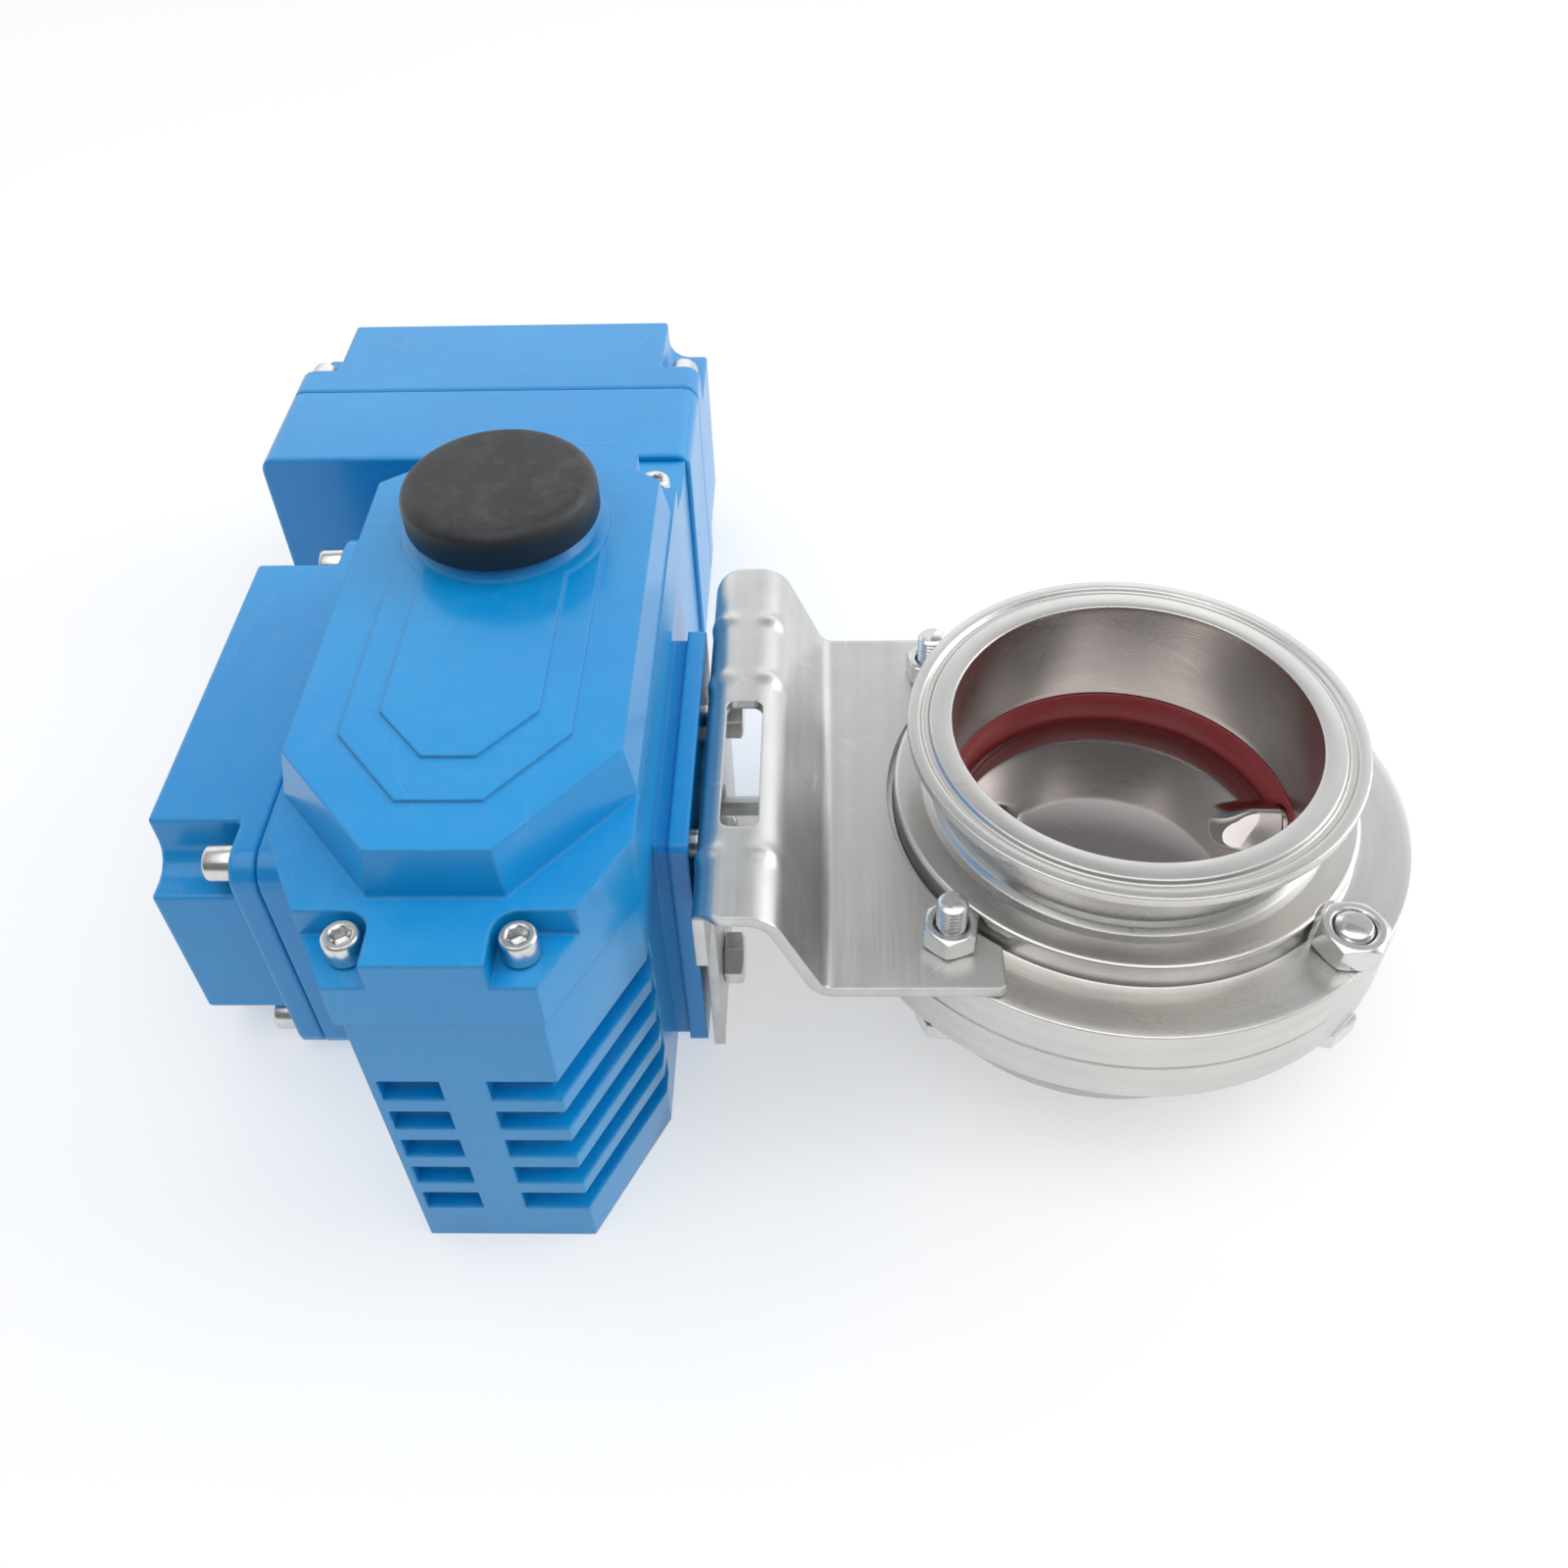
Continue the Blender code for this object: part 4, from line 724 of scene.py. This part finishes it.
def stud(name, axis, mid, radius, low, high, pitch):
    """Threaded end: r(t, s) = R - d tri(s / pitch - t / 2 pi), a triangle wave wound once round each pitch,
    faded out at the end, which is chamfered."""
    count = max(8, int((high - low) / pitch * 12))
    s = np.linspace(0, high - low, count)[None]
    t = turns(64)
    wave = np.abs(((s / pitch - t / TAU) % 1.0) * 2 - 1)
    depth = 0.55 * pitch
    chamfer = np.clip(((high - low) - s) / (0.9 * depth), 0, 1)
    r = radius - depth * wave - depth * (1 - chamfer)
    r = np.concatenate([np.zeros_like(t), r, np.zeros_like(t)], axis=1)
    a = np.concatenate([[0.0], s[0], [high - low]])[None] + low
    return surface(name, around(axis, a, mid, r, t), True, False, 24)


def hex_head(name, axis, mid, across, low, high, phase, top_sign=1):
    """Hexagon head: the outer face falls away past 0.94 of half the width as a 30 degree cone."""
    t = turns(96)
    reach = hexagon_reach(t - phase, across)
    flat = across / 2 * 0.94
    drop = (reach - flat) * TAN_30
    under, top = (low, high) if top_sign > 0 else (high, low)
    rows = [(0.0, under), (reach, under), (reach, top - top_sign * drop), (flat, top), (0.0, top)]
    return ringed(name, axis, mid, t, rows, False, 26)


def socket_screw(name, axis, mid, shank, head_r, head_h, seat, sign, reach):
    """Socket-head screw: a knurled head with a turned-off edge, a hexagon socket sunk 0.55 of the head and
    closed by a shallow cone, and a plain shank. The knurl is r = R - 0.1 |cos 24 t| mm."""
    t = turns(144)
    knurl = 0.00010 * np.abs(np.cos(24 * t))
    hexa = hexagon_reach(t, shank * 1.66)
    ease = 0.0006
    rows = [
        (0.0, -reach), (shank * 0.86, -reach), (shank, -reach + 0.0008), (shank, 0.0), (head_r - 0.0003, 0.0),
        (head_r - knurl, 0.0003), (head_r - knurl, head_h - ease * 1.5),
        (head_r - ease * 0.3, head_h - ease * 0.7), (head_r - ease, head_h), (shank * 1.06, head_h),
        (hexa, head_h - 0.0004), (hexa, head_h * 0.45), (0.0, head_h * 0.45 - 0.0006),
    ]
    return ringed(name, axis, mid, t, [(r, seat + sign * a) for r, a in rows], False, 30)


def make_body_bolts():
    """The four body bolts and their nuts."""
    made = []
    for k in range(1, 5):
        node, mate = f"body_bolt_{k}", f"body_nut_{k}"
        low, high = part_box(node)
        spot = spot_of(mate, 0, 1)
        far = spot[0] > VALVE.x
        across, shank, pitch = (0.016, 0.005, 0.0015) if far else (0.013, 0.004, 0.00125)
        under = VALVE.z - 0.0134
        head = hex_head(node + "_turned", "Z", spot, across, low.z, under, 0.4 * k, -1)
        thread = stud("thread", "Z", spot, shank, under - 0.001, high.z, pitch)
        carve(head, [thread], "UNION", 26)
        made.append((head, node))
        made.append((nut(mate + "_turned", mate, across, shank + 0.00032, 0.35 * k + math.pi / 6), mate))
    return made


# ---- the bracket ----
def bent_path(corners, radii, step=0.6):
    """Points and unit normals along straight runs joined by arcs of the given radii, about a step apart."""
    c = np.asarray(corners, float)
    out = [c[:1]]
    for k in range(1, len(c) - 1):
        u, v = c[k - 1] - c[k], c[k + 1] - c[k]
        u, v = u / np.linalg.norm(u), v / np.linalg.norm(v)
        half = math.acos(float(np.clip(u @ v, -1, 1))) / 2
        r = radii[k - 1]
        centre = c[k] + (u + v) / np.linalg.norm(u + v) * r / math.sin(half)
        p, q = c[k] + u * r / math.tan(half) - centre, c[k] + v * r / math.tan(half) - centre
        a0 = math.atan2(p[1], p[0])
        turn = (math.atan2(q[1], q[0]) - a0 + math.pi) % TAU - math.pi
        a = a0 + turn * np.linspace(0, 1, 13)
        out.append(centre + r * np.stack([np.cos(a), np.sin(a)], axis=1))
    out.append(c[-1:])
    p = np.concatenate(out)
    lengths = np.linalg.norm(np.diff(p, axis=0), axis=1)
    pieces = [p[k] + (p[k + 1] - p[k]) * (np.arange(n) / n)[:, None]
              for k, n in enumerate(np.maximum(1, np.ceil(lengths / step).astype(int)))]
    p = np.concatenate(pieces + [p[-1:]])
    d = np.gradient(p, axis=0)
    d /= np.linalg.norm(d, axis=1)[:, None]
    return p, np.stack([-d[:, 1], d[:, 0]], axis=1)


def make_bracket():
    """Bent sheet. Its middle surface is the path (x(s), z(s)) carried along y: the plate's run starts on the
    arc x = -sqrt(R^2 - y^2) that clears the hub ring, the ends of the web are rounded, the skirt below it is
    narrower, and six dents, Gaussian in s and y, press both bends inwards. Solidify gives the sheet its
    thickness."""
    low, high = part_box("bracket")
    plate = 3.0
    half = (high.y - low.y) / 2 / MM
    top = (high.z - VALVE.z) / MM - plate / 2
    face = (low.x - VALVE.x) / MM + plate / 2
    lie = 13.1 + 0.3 + plate / 2
    foot = (low.z - VALVE.z) / MM
    shoulder = (-94.9, top)
    path, normal = bent_path([(-70.0, lie), (-82.6, lie), shoulder, (face, top), (face, foot)], [6.0, 8.6, 4.8])
    lengths = np.concatenate([[0], np.cumsum(np.linalg.norm(np.diff(path, axis=0), axis=1))])
    x, z = path[:, 0], path[:, 1]
    web_corner, web_foot, skirt_half = 9.0, 20.3, 42.5
    cut = np.clip(face + 7.5 - x, 0, web_corner)
    width = np.where(z > web_foot, half - web_corner + np.sqrt(web_corner ** 2 - cut ** 2), skirt_half)
    width = np.where((z <= web_foot) & (x > -100), half, width)
    # The plate in front of the path: rows that spread from the arc to the path's start.
    arc_end = 52.6
    y_unit = np.unique(np.concatenate([np.linspace(-1, 1, 131), [-arc_end / half, arc_end / half]]))
    y = y_unit[:, None] * width[None]
    radius = 62.4 + 1.8
    arc = -np.sqrt(np.clip(radius ** 2 - (y_unit * half) ** 2, 0, None))
    edge = np.where(np.abs(y_unit * half) < arc_end, arc, -37.0)
    corner = np.clip(np.abs(y_unit * half) - (half - 1.2), 0, None)
    edge = edge - (1.2 - np.sqrt(np.clip(1.2 ** 2 - corner ** 2, 0, None)))
    k = np.linspace(0, 1, 40)[None, :-1]
    plate_x = edge[:, None] * (1 - k) + x[0] * k
    plate_y = np.broadcast_to((y_unit * half)[:, None], plate_x.shape)
    dent = np.zeros_like(y)
    for bend_x, bend_z in (shoulder, (face, top)):
        near = np.argmin((x - bend_x) ** 2 + (z - bend_z) ** 2)
        across = np.exp(-((lengths[None] - lengths[near]) / 3.2) ** 2)
        for spot in (43.0, 19.0, -44.0):
            dent += 0.9 * across * np.exp(-((y - spot) / 2.1) ** 2)
    px = x[None] - normal[None, :, 0] * dent
    pz = z[None] - normal[None, :, 1] * dent
    gx = np.concatenate([plate_x, px], axis=1)
    gy = np.concatenate([plate_y, y], axis=1)
    gz = np.concatenate([np.full(plate_x.shape, lie), pz], axis=1)
    points = np.stack([gx, gy, gz], axis=-1) * MM + np.array(VALVE)
    obj = surface("bracket_bent", points, False, False, 40)
    up = np.array([poly.normal.z * poly.area for poly in obj.data.polygons]).sum()
    if up < 0:
        obj.data.flip_normals()
    mod = obj.modifiers.new("sheet", "SOLIDIFY")
    mod.thickness, mod.offset, mod.use_even_offset = plate * MM, 0.0, True
    bake_modifiers(obj)
    v = VALVE
    ring = rounded((-107.4, -97.8), (-36.6, 8.7), 2.6) * MM + [v.x, v.y]
    tools = [outline_prism("slot", "Z", ring, v.z + 0.036, v.z + 0.050)]
    flange = (v.x + face * MM - 0.005, v.x + face * MM + 0.005)
    holes = [pin("hole", "X", (v.y, v.z), 0.0148, *flange, 64)]
    pitch = 0.02475
    holes += [pin("hole", "X", (v.y + a * pitch, v.z + b * pitch), 0.0045, *flange)
              for a in (-1, 1) for b in (-1, 1)]
    for k in range(1, 5):
        spot = spot_of(f"body_nut_{k}", 0, 1)
        if spot[0] < v.x:
            holes.append(pin("hole", "Z", spot, 0.0046, v.z + 0.008, v.z + 0.025))
    carve(obj, tools + [together("holes", holes)], smooth=35)
    mod = obj.modifiers.new("edges", "BEVEL")
    mod.width, mod.segments, mod.limit_method, mod.angle_limit = 0.00035, 2, "ANGLE", math.radians(50)
    bake_modifiers(obj)
    shade(obj, 38)
    return obj


def rounded(xs, ys, radius, steps=8):
    """Rectangle with rounded corners, as an array of points."""
    a = np.radians(np.linspace(0, 90, steps + 1))
    arcs = []
    for x, y, turn in ((xs[1] - radius, ys[0] + radius, -90), (xs[1] - radius, ys[1] - radius, 0),
                       (xs[0] + radius, ys[1] - radius, 90), (xs[0] + radius, ys[0] + radius, 180)):
        t = a + math.radians(turn)
        arcs.append(np.stack([x + radius * np.cos(t), y + radius * np.sin(t)], axis=1))
    return np.concatenate(arcs)


# ---- the actuator's turned and moulded pieces ----
def make_cap():
    """Pull-off cap: flat top eased into its side, a straight skirt and a recess clear of the worm's hexagon."""
    low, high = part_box("override_cap")
    r = (high.x - low.x) / 2
    z0, z1 = low.z, high.z
    mid = spot_of("override_cap", 0, 1)
    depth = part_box("worm_shaft")[1].z + 0.0012
    arc = np.linspace(0, math.pi / 2, 10)
    edge = np.stack([r - 0.0040 + 0.0040 * np.cos(arc), z1 - 0.0043 + 0.0040 * np.sin(arc)], axis=1)
    top = [(r * 0.7, z1 - 0.0001), (r * 0.4, z1), (0, z1)]
    recess = 0.0075
    body = [(0, depth), (recess, depth), (recess, z0), (r - 0.0012, z0), (r - 0.0003, z0 + 0.0004),
            (r, z0 + 0.0013)]
    return turned("override_cap_moulded", "Z", mid, body + edge.tolist() + top, 192, closed=False, smooth=40)


def make_gland(name, node):
    """Cable gland: threaded spigot, hexagon collar and a fluted dome nut with an open bore; the flutes are
    r = R - 0.35 (1 - |cos 10 t|) mm."""
    mid = spot_of(node, 0, 2)
    y0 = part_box(node)[0].y
    t = turns(120)
    hexa = np.minimum(hexagon_reach(t, 0.0222), 0.0126)
    flute = 0.012 - 0.00035 * (1 - np.abs(np.cos(10 * t)))
    rows = [(0.0052, 0), (0.0100, 0), (0.0100, 8.3), (hexa - 0.0006, 8.3), (hexa, 8.9), (hexa, 12.8),
            (hexa - 0.0006, 13.5), (0.0106, 13.5), (0.0106, 15.0), (flute - 0.0004, 15.0), (flute, 15.5),
            (flute, 21.6), (0.0114, 23.2), (0.0102, 25.4), (0.0086, 27.2), (0.0076, 28.0), (0.0052, 28.0)]
    return ringed(name, "Y", mid, t, [(r, y0 + a * MM) for r, a in rows], True, 30)


def make_window():
    """Window: a shallow dome, 0.6 k^3 mm deep at the share k of its radius, with a flat edge."""
    low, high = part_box("window")
    x0, x1 = low.x, high.x
    mid = spot_of("window", 1, 2)
    dome = [(0.0150 * k, x0 + 0.0006 * k ** 3) for k in np.linspace(0, 1, 12)]
    edge = [(0.0165, x0 + 0.0014), (0.0167, x0 + 0.0018), (0.0167, x1), (0, x1)]
    return turned("window_moulded", "X", mid, dome + edge, 128, closed=False, smooth=30)


# ---- settings and operators ----
def length(label, what, value):
    return bpy.props.FloatProperty(name=label, description=what, default=value, unit="LENGTH",
                                   subtype="DISTANCE")


def tint(label, what, value):
    return bpy.props.FloatVectorProperty(name=label, description=what, default=value, subtype="COLOR",
                                         min=0.0, max=1.0)


class ValveSizes(bpy.types.PropertyGroup):
    """Sizes that a user may change."""
    round_segments: bpy.props.IntProperty(name="Round segments", description="Steps round the turned pieces",
                                          default=224, min=32, max=512)
    steel_ease: length("Steel edges", "Rounding of the turned steel's edges", 0.0004)
    cast_ease: length("Casting edges", "Rounding of the castings' edges", 0.0012)


class ValveFinishes(bpy.types.PropertyGroup):
    """Colours and surface sizes that a user may change."""
    paint_colour: tint("Paint", "Colour of the castings", (0.001, 0.28, 0.64))
    steel_colour: tint("Steel", "Colour of the turned steel", (0.68, 0.665, 0.64))
    seal_colour: tint("Seal", "Colour of the seat ring", (0.27, 0.030, 0.035))
    cap_colour: tint("Cap", "Colour of the rubber cap", (0.010, 0.011, 0.014))
    edge_radius: length("Edge roundness", "Radius over which paint edges soften", 0.0013)


class StudioSettings(bpy.types.PropertyGroup):
    """Camera and light levels."""
    focal: bpy.props.FloatProperty(name="Lens", description="Focal length in millimetres on a 36 mm sensor",
                                   default=33.17, min=10.0, max=200.0)
    key: bpy.props.FloatProperty(name="Top light", description="Power of the large light overhead",
                                 default=30.0, unit="POWER")
    fill: bpy.props.FloatProperty(name="Fill", description="Strength of the pale surroundings", default=1.02)
    floor_colour: tint("Floor", "Colour of the floor", (0.50, 0.50, 0.50))
    glow: bpy.props.FloatProperty(name="Floor glow", description="Light given out by the floor", default=0.5)


def sizes():
    return bpy.context.scene.valve_sizes


class VALVE_OT_finishes(bpy.types.Operator):
    """Makes the shared shader groups and every finish"""
    bl_idname = "valve.finishes"
    bl_label = "Finishes"

    def execute(self, context):
        make_finishes(context.scene.valve_finishes)
        return {"FINISHED"}


class VALVE_OT_body(bpy.types.Operator):
    """Turns the two body halves, the seat ring and the disc"""
    bl_idname = "valve.body"
    bl_label = "Valve body"

    def execute(self, context):
        size = sizes()
        for node, side in (("upper_body", 1), ("lower_body", -1)):
            fit(body_half(node + "_turned", side, size), "base", "valve_steel", FINISHES["valve"], node)
        fit(make_seat(size), "base", "silicone", FINISHES["silicone"], "seat_ring")
        fit(make_disc(size), "drive_line", "polished_steel", FINISHES["polish_dark_reflection"], "disc")
        return {"FINISHED"}


class VALVE_OT_fasteners(bpy.types.Operator):
    """Makes the bolts, nuts and socket-head screws"""
    bl_idname = "valve.fasteners"
    bl_label = "Fasteners"

    def execute(self, context):
        for obj, node in make_body_bolts():
            fit(obj, "base", "fastener", FINISHES["bright"], node)
        for k in range(1, 5):
            node = f"bracket_bolt_{k}"
            low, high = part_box(node)
            mid = spot_of(node, 1, 2)
            head_low = high.x - 0.0054
            head = hex_head(node + "_turned", "X", mid, 0.013, head_low, high.x, 0.3 * k)
            shank = pin("shank", "X", mid, 0.004, low.x, head_low + 0.001)
            carve(head, [shank], "UNION", 26)
            fit(head, "base", "fastener", FINISHES["bright"], node)
        kinds = (("cover_screw", "Z", (0, 1), 0.0025, 0.00425, 0.0064, 1),
                 ("case_screw", "X", (1, 2), 0.003, 0.005, 0.0076, -1),
                 ("terminal_screw", "Y", (0, 2), 0.003, 0.005, 0.0076, 1))
        for kind, axis, cross, shank, head_r, head_h, sign in kinds:
            for k in range(1, 5):
                node = f"{kind}_{k}"
                low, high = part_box(node)
                n = "XYZ".index(axis)
                end = high[n] if sign > 0 else low[n]
                seat = end - sign * head_h
                reach = abs((low[n] if sign > 0 else high[n]) - seat)
                mid = spot_of(node, *cross)
                fit(socket_screw(node + "_turned", axis, mid, shank, head_r, head_h, seat, sign, reach), "base",
                    "fastener", FINISHES["bright"], node)
        return {"FINISHED"}


class VALVE_OT_bracket(bpy.types.Operator):
    """Bends the bracket's sheet"""
    bl_idname = "valve.bracket"
    bl_label = "Bracket"

    def execute(self, context):
        fit(make_bracket(), "base", "sheet_steel", FINISHES["sheet"], "bracket")
        return {"FINISHED"}


class VALVE_OT_castings(bpy.types.Operator):
    """Softens the edges of the blue castings"""
    bl_idname = "valve.castings"
    bl_label = "Castings"

    def execute(self, context):
        ease = sizes().cast_ease
        for node in ("gear_housing", "gear_cover", "electrical_cover", "terminal_box", "terminal_cover"):
            cast = softened(node + "_cast", node, ease, node.startswith("gear"))
            fit(cast, "base", "blue_paint", FINISHES["paint"], node)
        return {"FINISHED"}


class VALVE_OT_small_parts(bpy.types.Operator):
    """Makes the cap, the cable glands and the window"""
    bl_idname = "valve.small_parts"
    bl_label = "Cap, glands and window"

    def execute(self, context):
        fit(make_cap(), "cap", "cap_rubber", FINISHES["cap"], "override_cap")
        for k in (1, 2):
            node = f"cable_gland_{k}"
            fit(make_gland(node + "_moulded", node), "base", "gland_plastic", FINISHES["gland"], node)
        fit(make_window(), "base", "clear_window", FINISHES["clear"], "window")
        return {"FINISHED"}


KEPT = {"coupling": "coupling", "output_shaft": "gear", "worm_shaft": "gear", "worm_gear": "gear",
        "idler_gear": "gear", "idler_pin": "gear", "motor_pinion": "gear", "worm_wheel": "bronze",
        "bushing_cam": "bronze", "bushing_drive": "bronze", "stem_bushing_drive": "bronze",
        "stem_bushing_foot": "bronze", "cover_gasket": "gasket", "limit_switch_1": "dark",
        "limit_switch_2": "dark", "terminal_block": "dark", "motor": "motor", "switch_cam": "white",
        "pointer": "white"}


class VALVE_OT_inner_parts(bpy.types.Operator):
    """Gives the frame's own inner pieces their finishes"""
    bl_idname = "valve.inner_parts"
    bl_label = "Inner pieces"

    def execute(self, context):
        for node, finish in KEPT.items():
            NODES[node].material_slots[0].material = FINISHES[finish]
        return {"FINISHED"}


class VALVE_OT_studio(bpy.types.Operator):
    """Sets the floor, the light and the camera"""
    bl_idname = "valve.studio"
    bl_label = "Studio"

    def execute(self, context):
        make_studio(context.scene.valve_studio)
        return {"FINISHED"}


# The camera's place from the valve's centre in metres, and its pitch, yaw and roll in degrees.
CAMERA_PLACE = Vector((-0.0806, -0.2746, 0.3073))
CAMERA_TURN = (46.16, -2.50, -2.04)


def aim(obj, spot, target):
    """Puts an object at a spot, looking at a target."""
    obj.location = spot
    obj.rotation_euler = (Vector(target) - Vector(spot)).to_track_quat("-Z", "Y").to_euler()


def make_studio(studio):
    """The pale floor and air, two large lights and the camera."""
    scene = bpy.context.scene
    wide = (np.arange(2) * 2 - 1) * 6.0
    gx, gy = np.meshgrid(wide, wide, indexing="ij")
    floor = surface("studio_floor", np.stack([gx, gy, np.full_like(gx, -0.0002)], axis=-1), False, False)
    if floor.data.polygons[0].normal.z < 0:
        floor.data.flip_normals()
    mat, t, shader = start("pale_floor")
    where = t.where()
    tone = t.span(t.noise(where, 3.0, 3.0, 0.5), 0.3, 0.7)
    colour = rgb(studio.floor_colour)
    t.link(t.mix(tone, colour, rgb([c * 0.985 for c in colour[:3]])), shader.inputs["Base Color"])
    shader.inputs["Roughness"].default_value = 0.65
    shader.inputs["Specular IOR Level"].default_value = 0.2
    shader.inputs["Emission Color"].default_value = (0.97, 0.985, 1.0, 1.0)
    shader.inputs["Emission Strength"].default_value = studio.glow
    floor.data.materials.append(mat)

    world = bpy.data.worlds.new("studio_air")
    scene.world = world
    world.use_nodes = True
    t = Tree(world.node_tree)
    back = world.node_tree.nodes["Background"]
    way = t.add("ShaderNodeSeparateXYZ", None, Vector=t.add("ShaderNodeTexCoord").outputs["Generated"]).outputs
    rise = t.times(t.span(way["Z"], -0.1, 0.35, 0.6, 1.45), t.span(way["Z"], 0.60, 0.76, 1.0, 0.22))
    depth = t.span(way["Y"], -0.6, 0.3, 0.16, 1.0)
    side = t.span(way["X"], -0.9, 0.6, 0.85, 1.05)
    back.inputs["Color"].default_value = (0.96, 0.98, 1.0, 1.0)
    level = t.times(t.times(rise, depth), t.times(side, studio.fill))
    t.link(level, back.inputs["Strength"])

    for name, spot, target, size, power in (
            ("top_light", (0.05, -0.45, 1.9), (0.08, 0.0, 0.0), (2.6, 2.2), studio.key),
            ("right_light", (1.7, 0.3, 0.9), (0.0, 0.0, 0.05), (1.2, 1.2), studio.key * 0.35)):
        data = bpy.data.lights.new(name, "AREA")
        data.shape, data.size, data.size_y, data.energy = "RECTANGLE", size[0], size[1], power
        lamp = bpy.data.objects.new(name, data)
        scene.collection.objects.link(lamp)
        aim(lamp, spot, target)

    data = bpy.data.cameras.new("camera")
    data.lens, data.sensor_width, data.clip_start = studio.focal, 36.0, 0.01
    cam = bpy.data.objects.new("camera", data)
    scene.collection.objects.link(cam)
    pitch, yaw, roll = map(math.radians, CAMERA_TURN)
    forward = Vector((math.sin(yaw) * math.cos(pitch), math.cos(yaw) * math.cos(pitch), -math.sin(pitch)))
    right = Vector((math.cos(yaw), -math.sin(yaw), 0.0))
    up = right.cross(forward)
    r2 = right * math.cos(roll) + up * math.sin(roll)
    u2 = up * math.cos(roll) - right * math.sin(roll)
    turn = Matrix((r2, u2, -forward)).transposed().to_4x4()
    cam.matrix_world = Matrix.Translation(VALVE + CAMERA_PLACE) @ turn
    scene.camera = cam
    scene.view_settings.view_transform = "Standard"
    scene.view_settings.look = "None"
    scene.view_settings.exposure = 0.0


class VALVE_PT_panel(bpy.types.Panel):
    """Sizes, finishes and the steps that build the pieces"""
    bl_idname = "VALVE_PT_panel"
    bl_label = "Motorised valve"
    bl_space_type = "VIEW_3D"
    bl_region_type = "UI"
    bl_category = "Valve"

    def draw(self, context):
        layout = self.layout
        for owner in (context.scene.valve_sizes, context.scene.valve_finishes, context.scene.valve_studio):
            box = layout.box()
            for key in owner.bl_rna.properties.keys():
                if key not in ("rna_type", "name"):
                    box.prop(owner, key)
        for step in STEPS:
            layout.operator(step.bl_idname)


STEPS = (VALVE_OT_finishes, VALVE_OT_body, VALVE_OT_fasteners, VALVE_OT_bracket, VALVE_OT_castings,
         VALVE_OT_small_parts, VALVE_OT_inner_parts, VALVE_OT_studio)
GROUP_CLASSES = (ValveSizes, ValveFinishes, StudioSettings)
CLASSES = GROUP_CLASSES + STEPS + (VALVE_PT_panel,)


def register():
    for cls in CLASSES:
        bpy.utils.register_class(cls)
    bpy.types.Scene.valve_sizes = bpy.props.PointerProperty(type=ValveSizes)
    bpy.types.Scene.valve_finishes = bpy.props.PointerProperty(type=ValveFinishes)
    bpy.types.Scene.valve_studio = bpy.props.PointerProperty(type=StudioSettings)


def unregister():
    del bpy.types.Scene.valve_studio, bpy.types.Scene.valve_finishes, bpy.types.Scene.valve_sizes
    for cls in reversed(CLASSES):
        bpy.utils.unregister_class(cls)


def main():
    register()
    bpy.ops.valve.finishes()
    bpy.ops.valve.body()
    bpy.ops.valve.fasteners()
    bpy.ops.valve.bracket()
    bpy.ops.valve.castings()
    bpy.ops.valve.small_parts()
    bpy.ops.valve.inner_parts()
    bpy.ops.valve.studio()


if __name__ == "__main__":
    main()
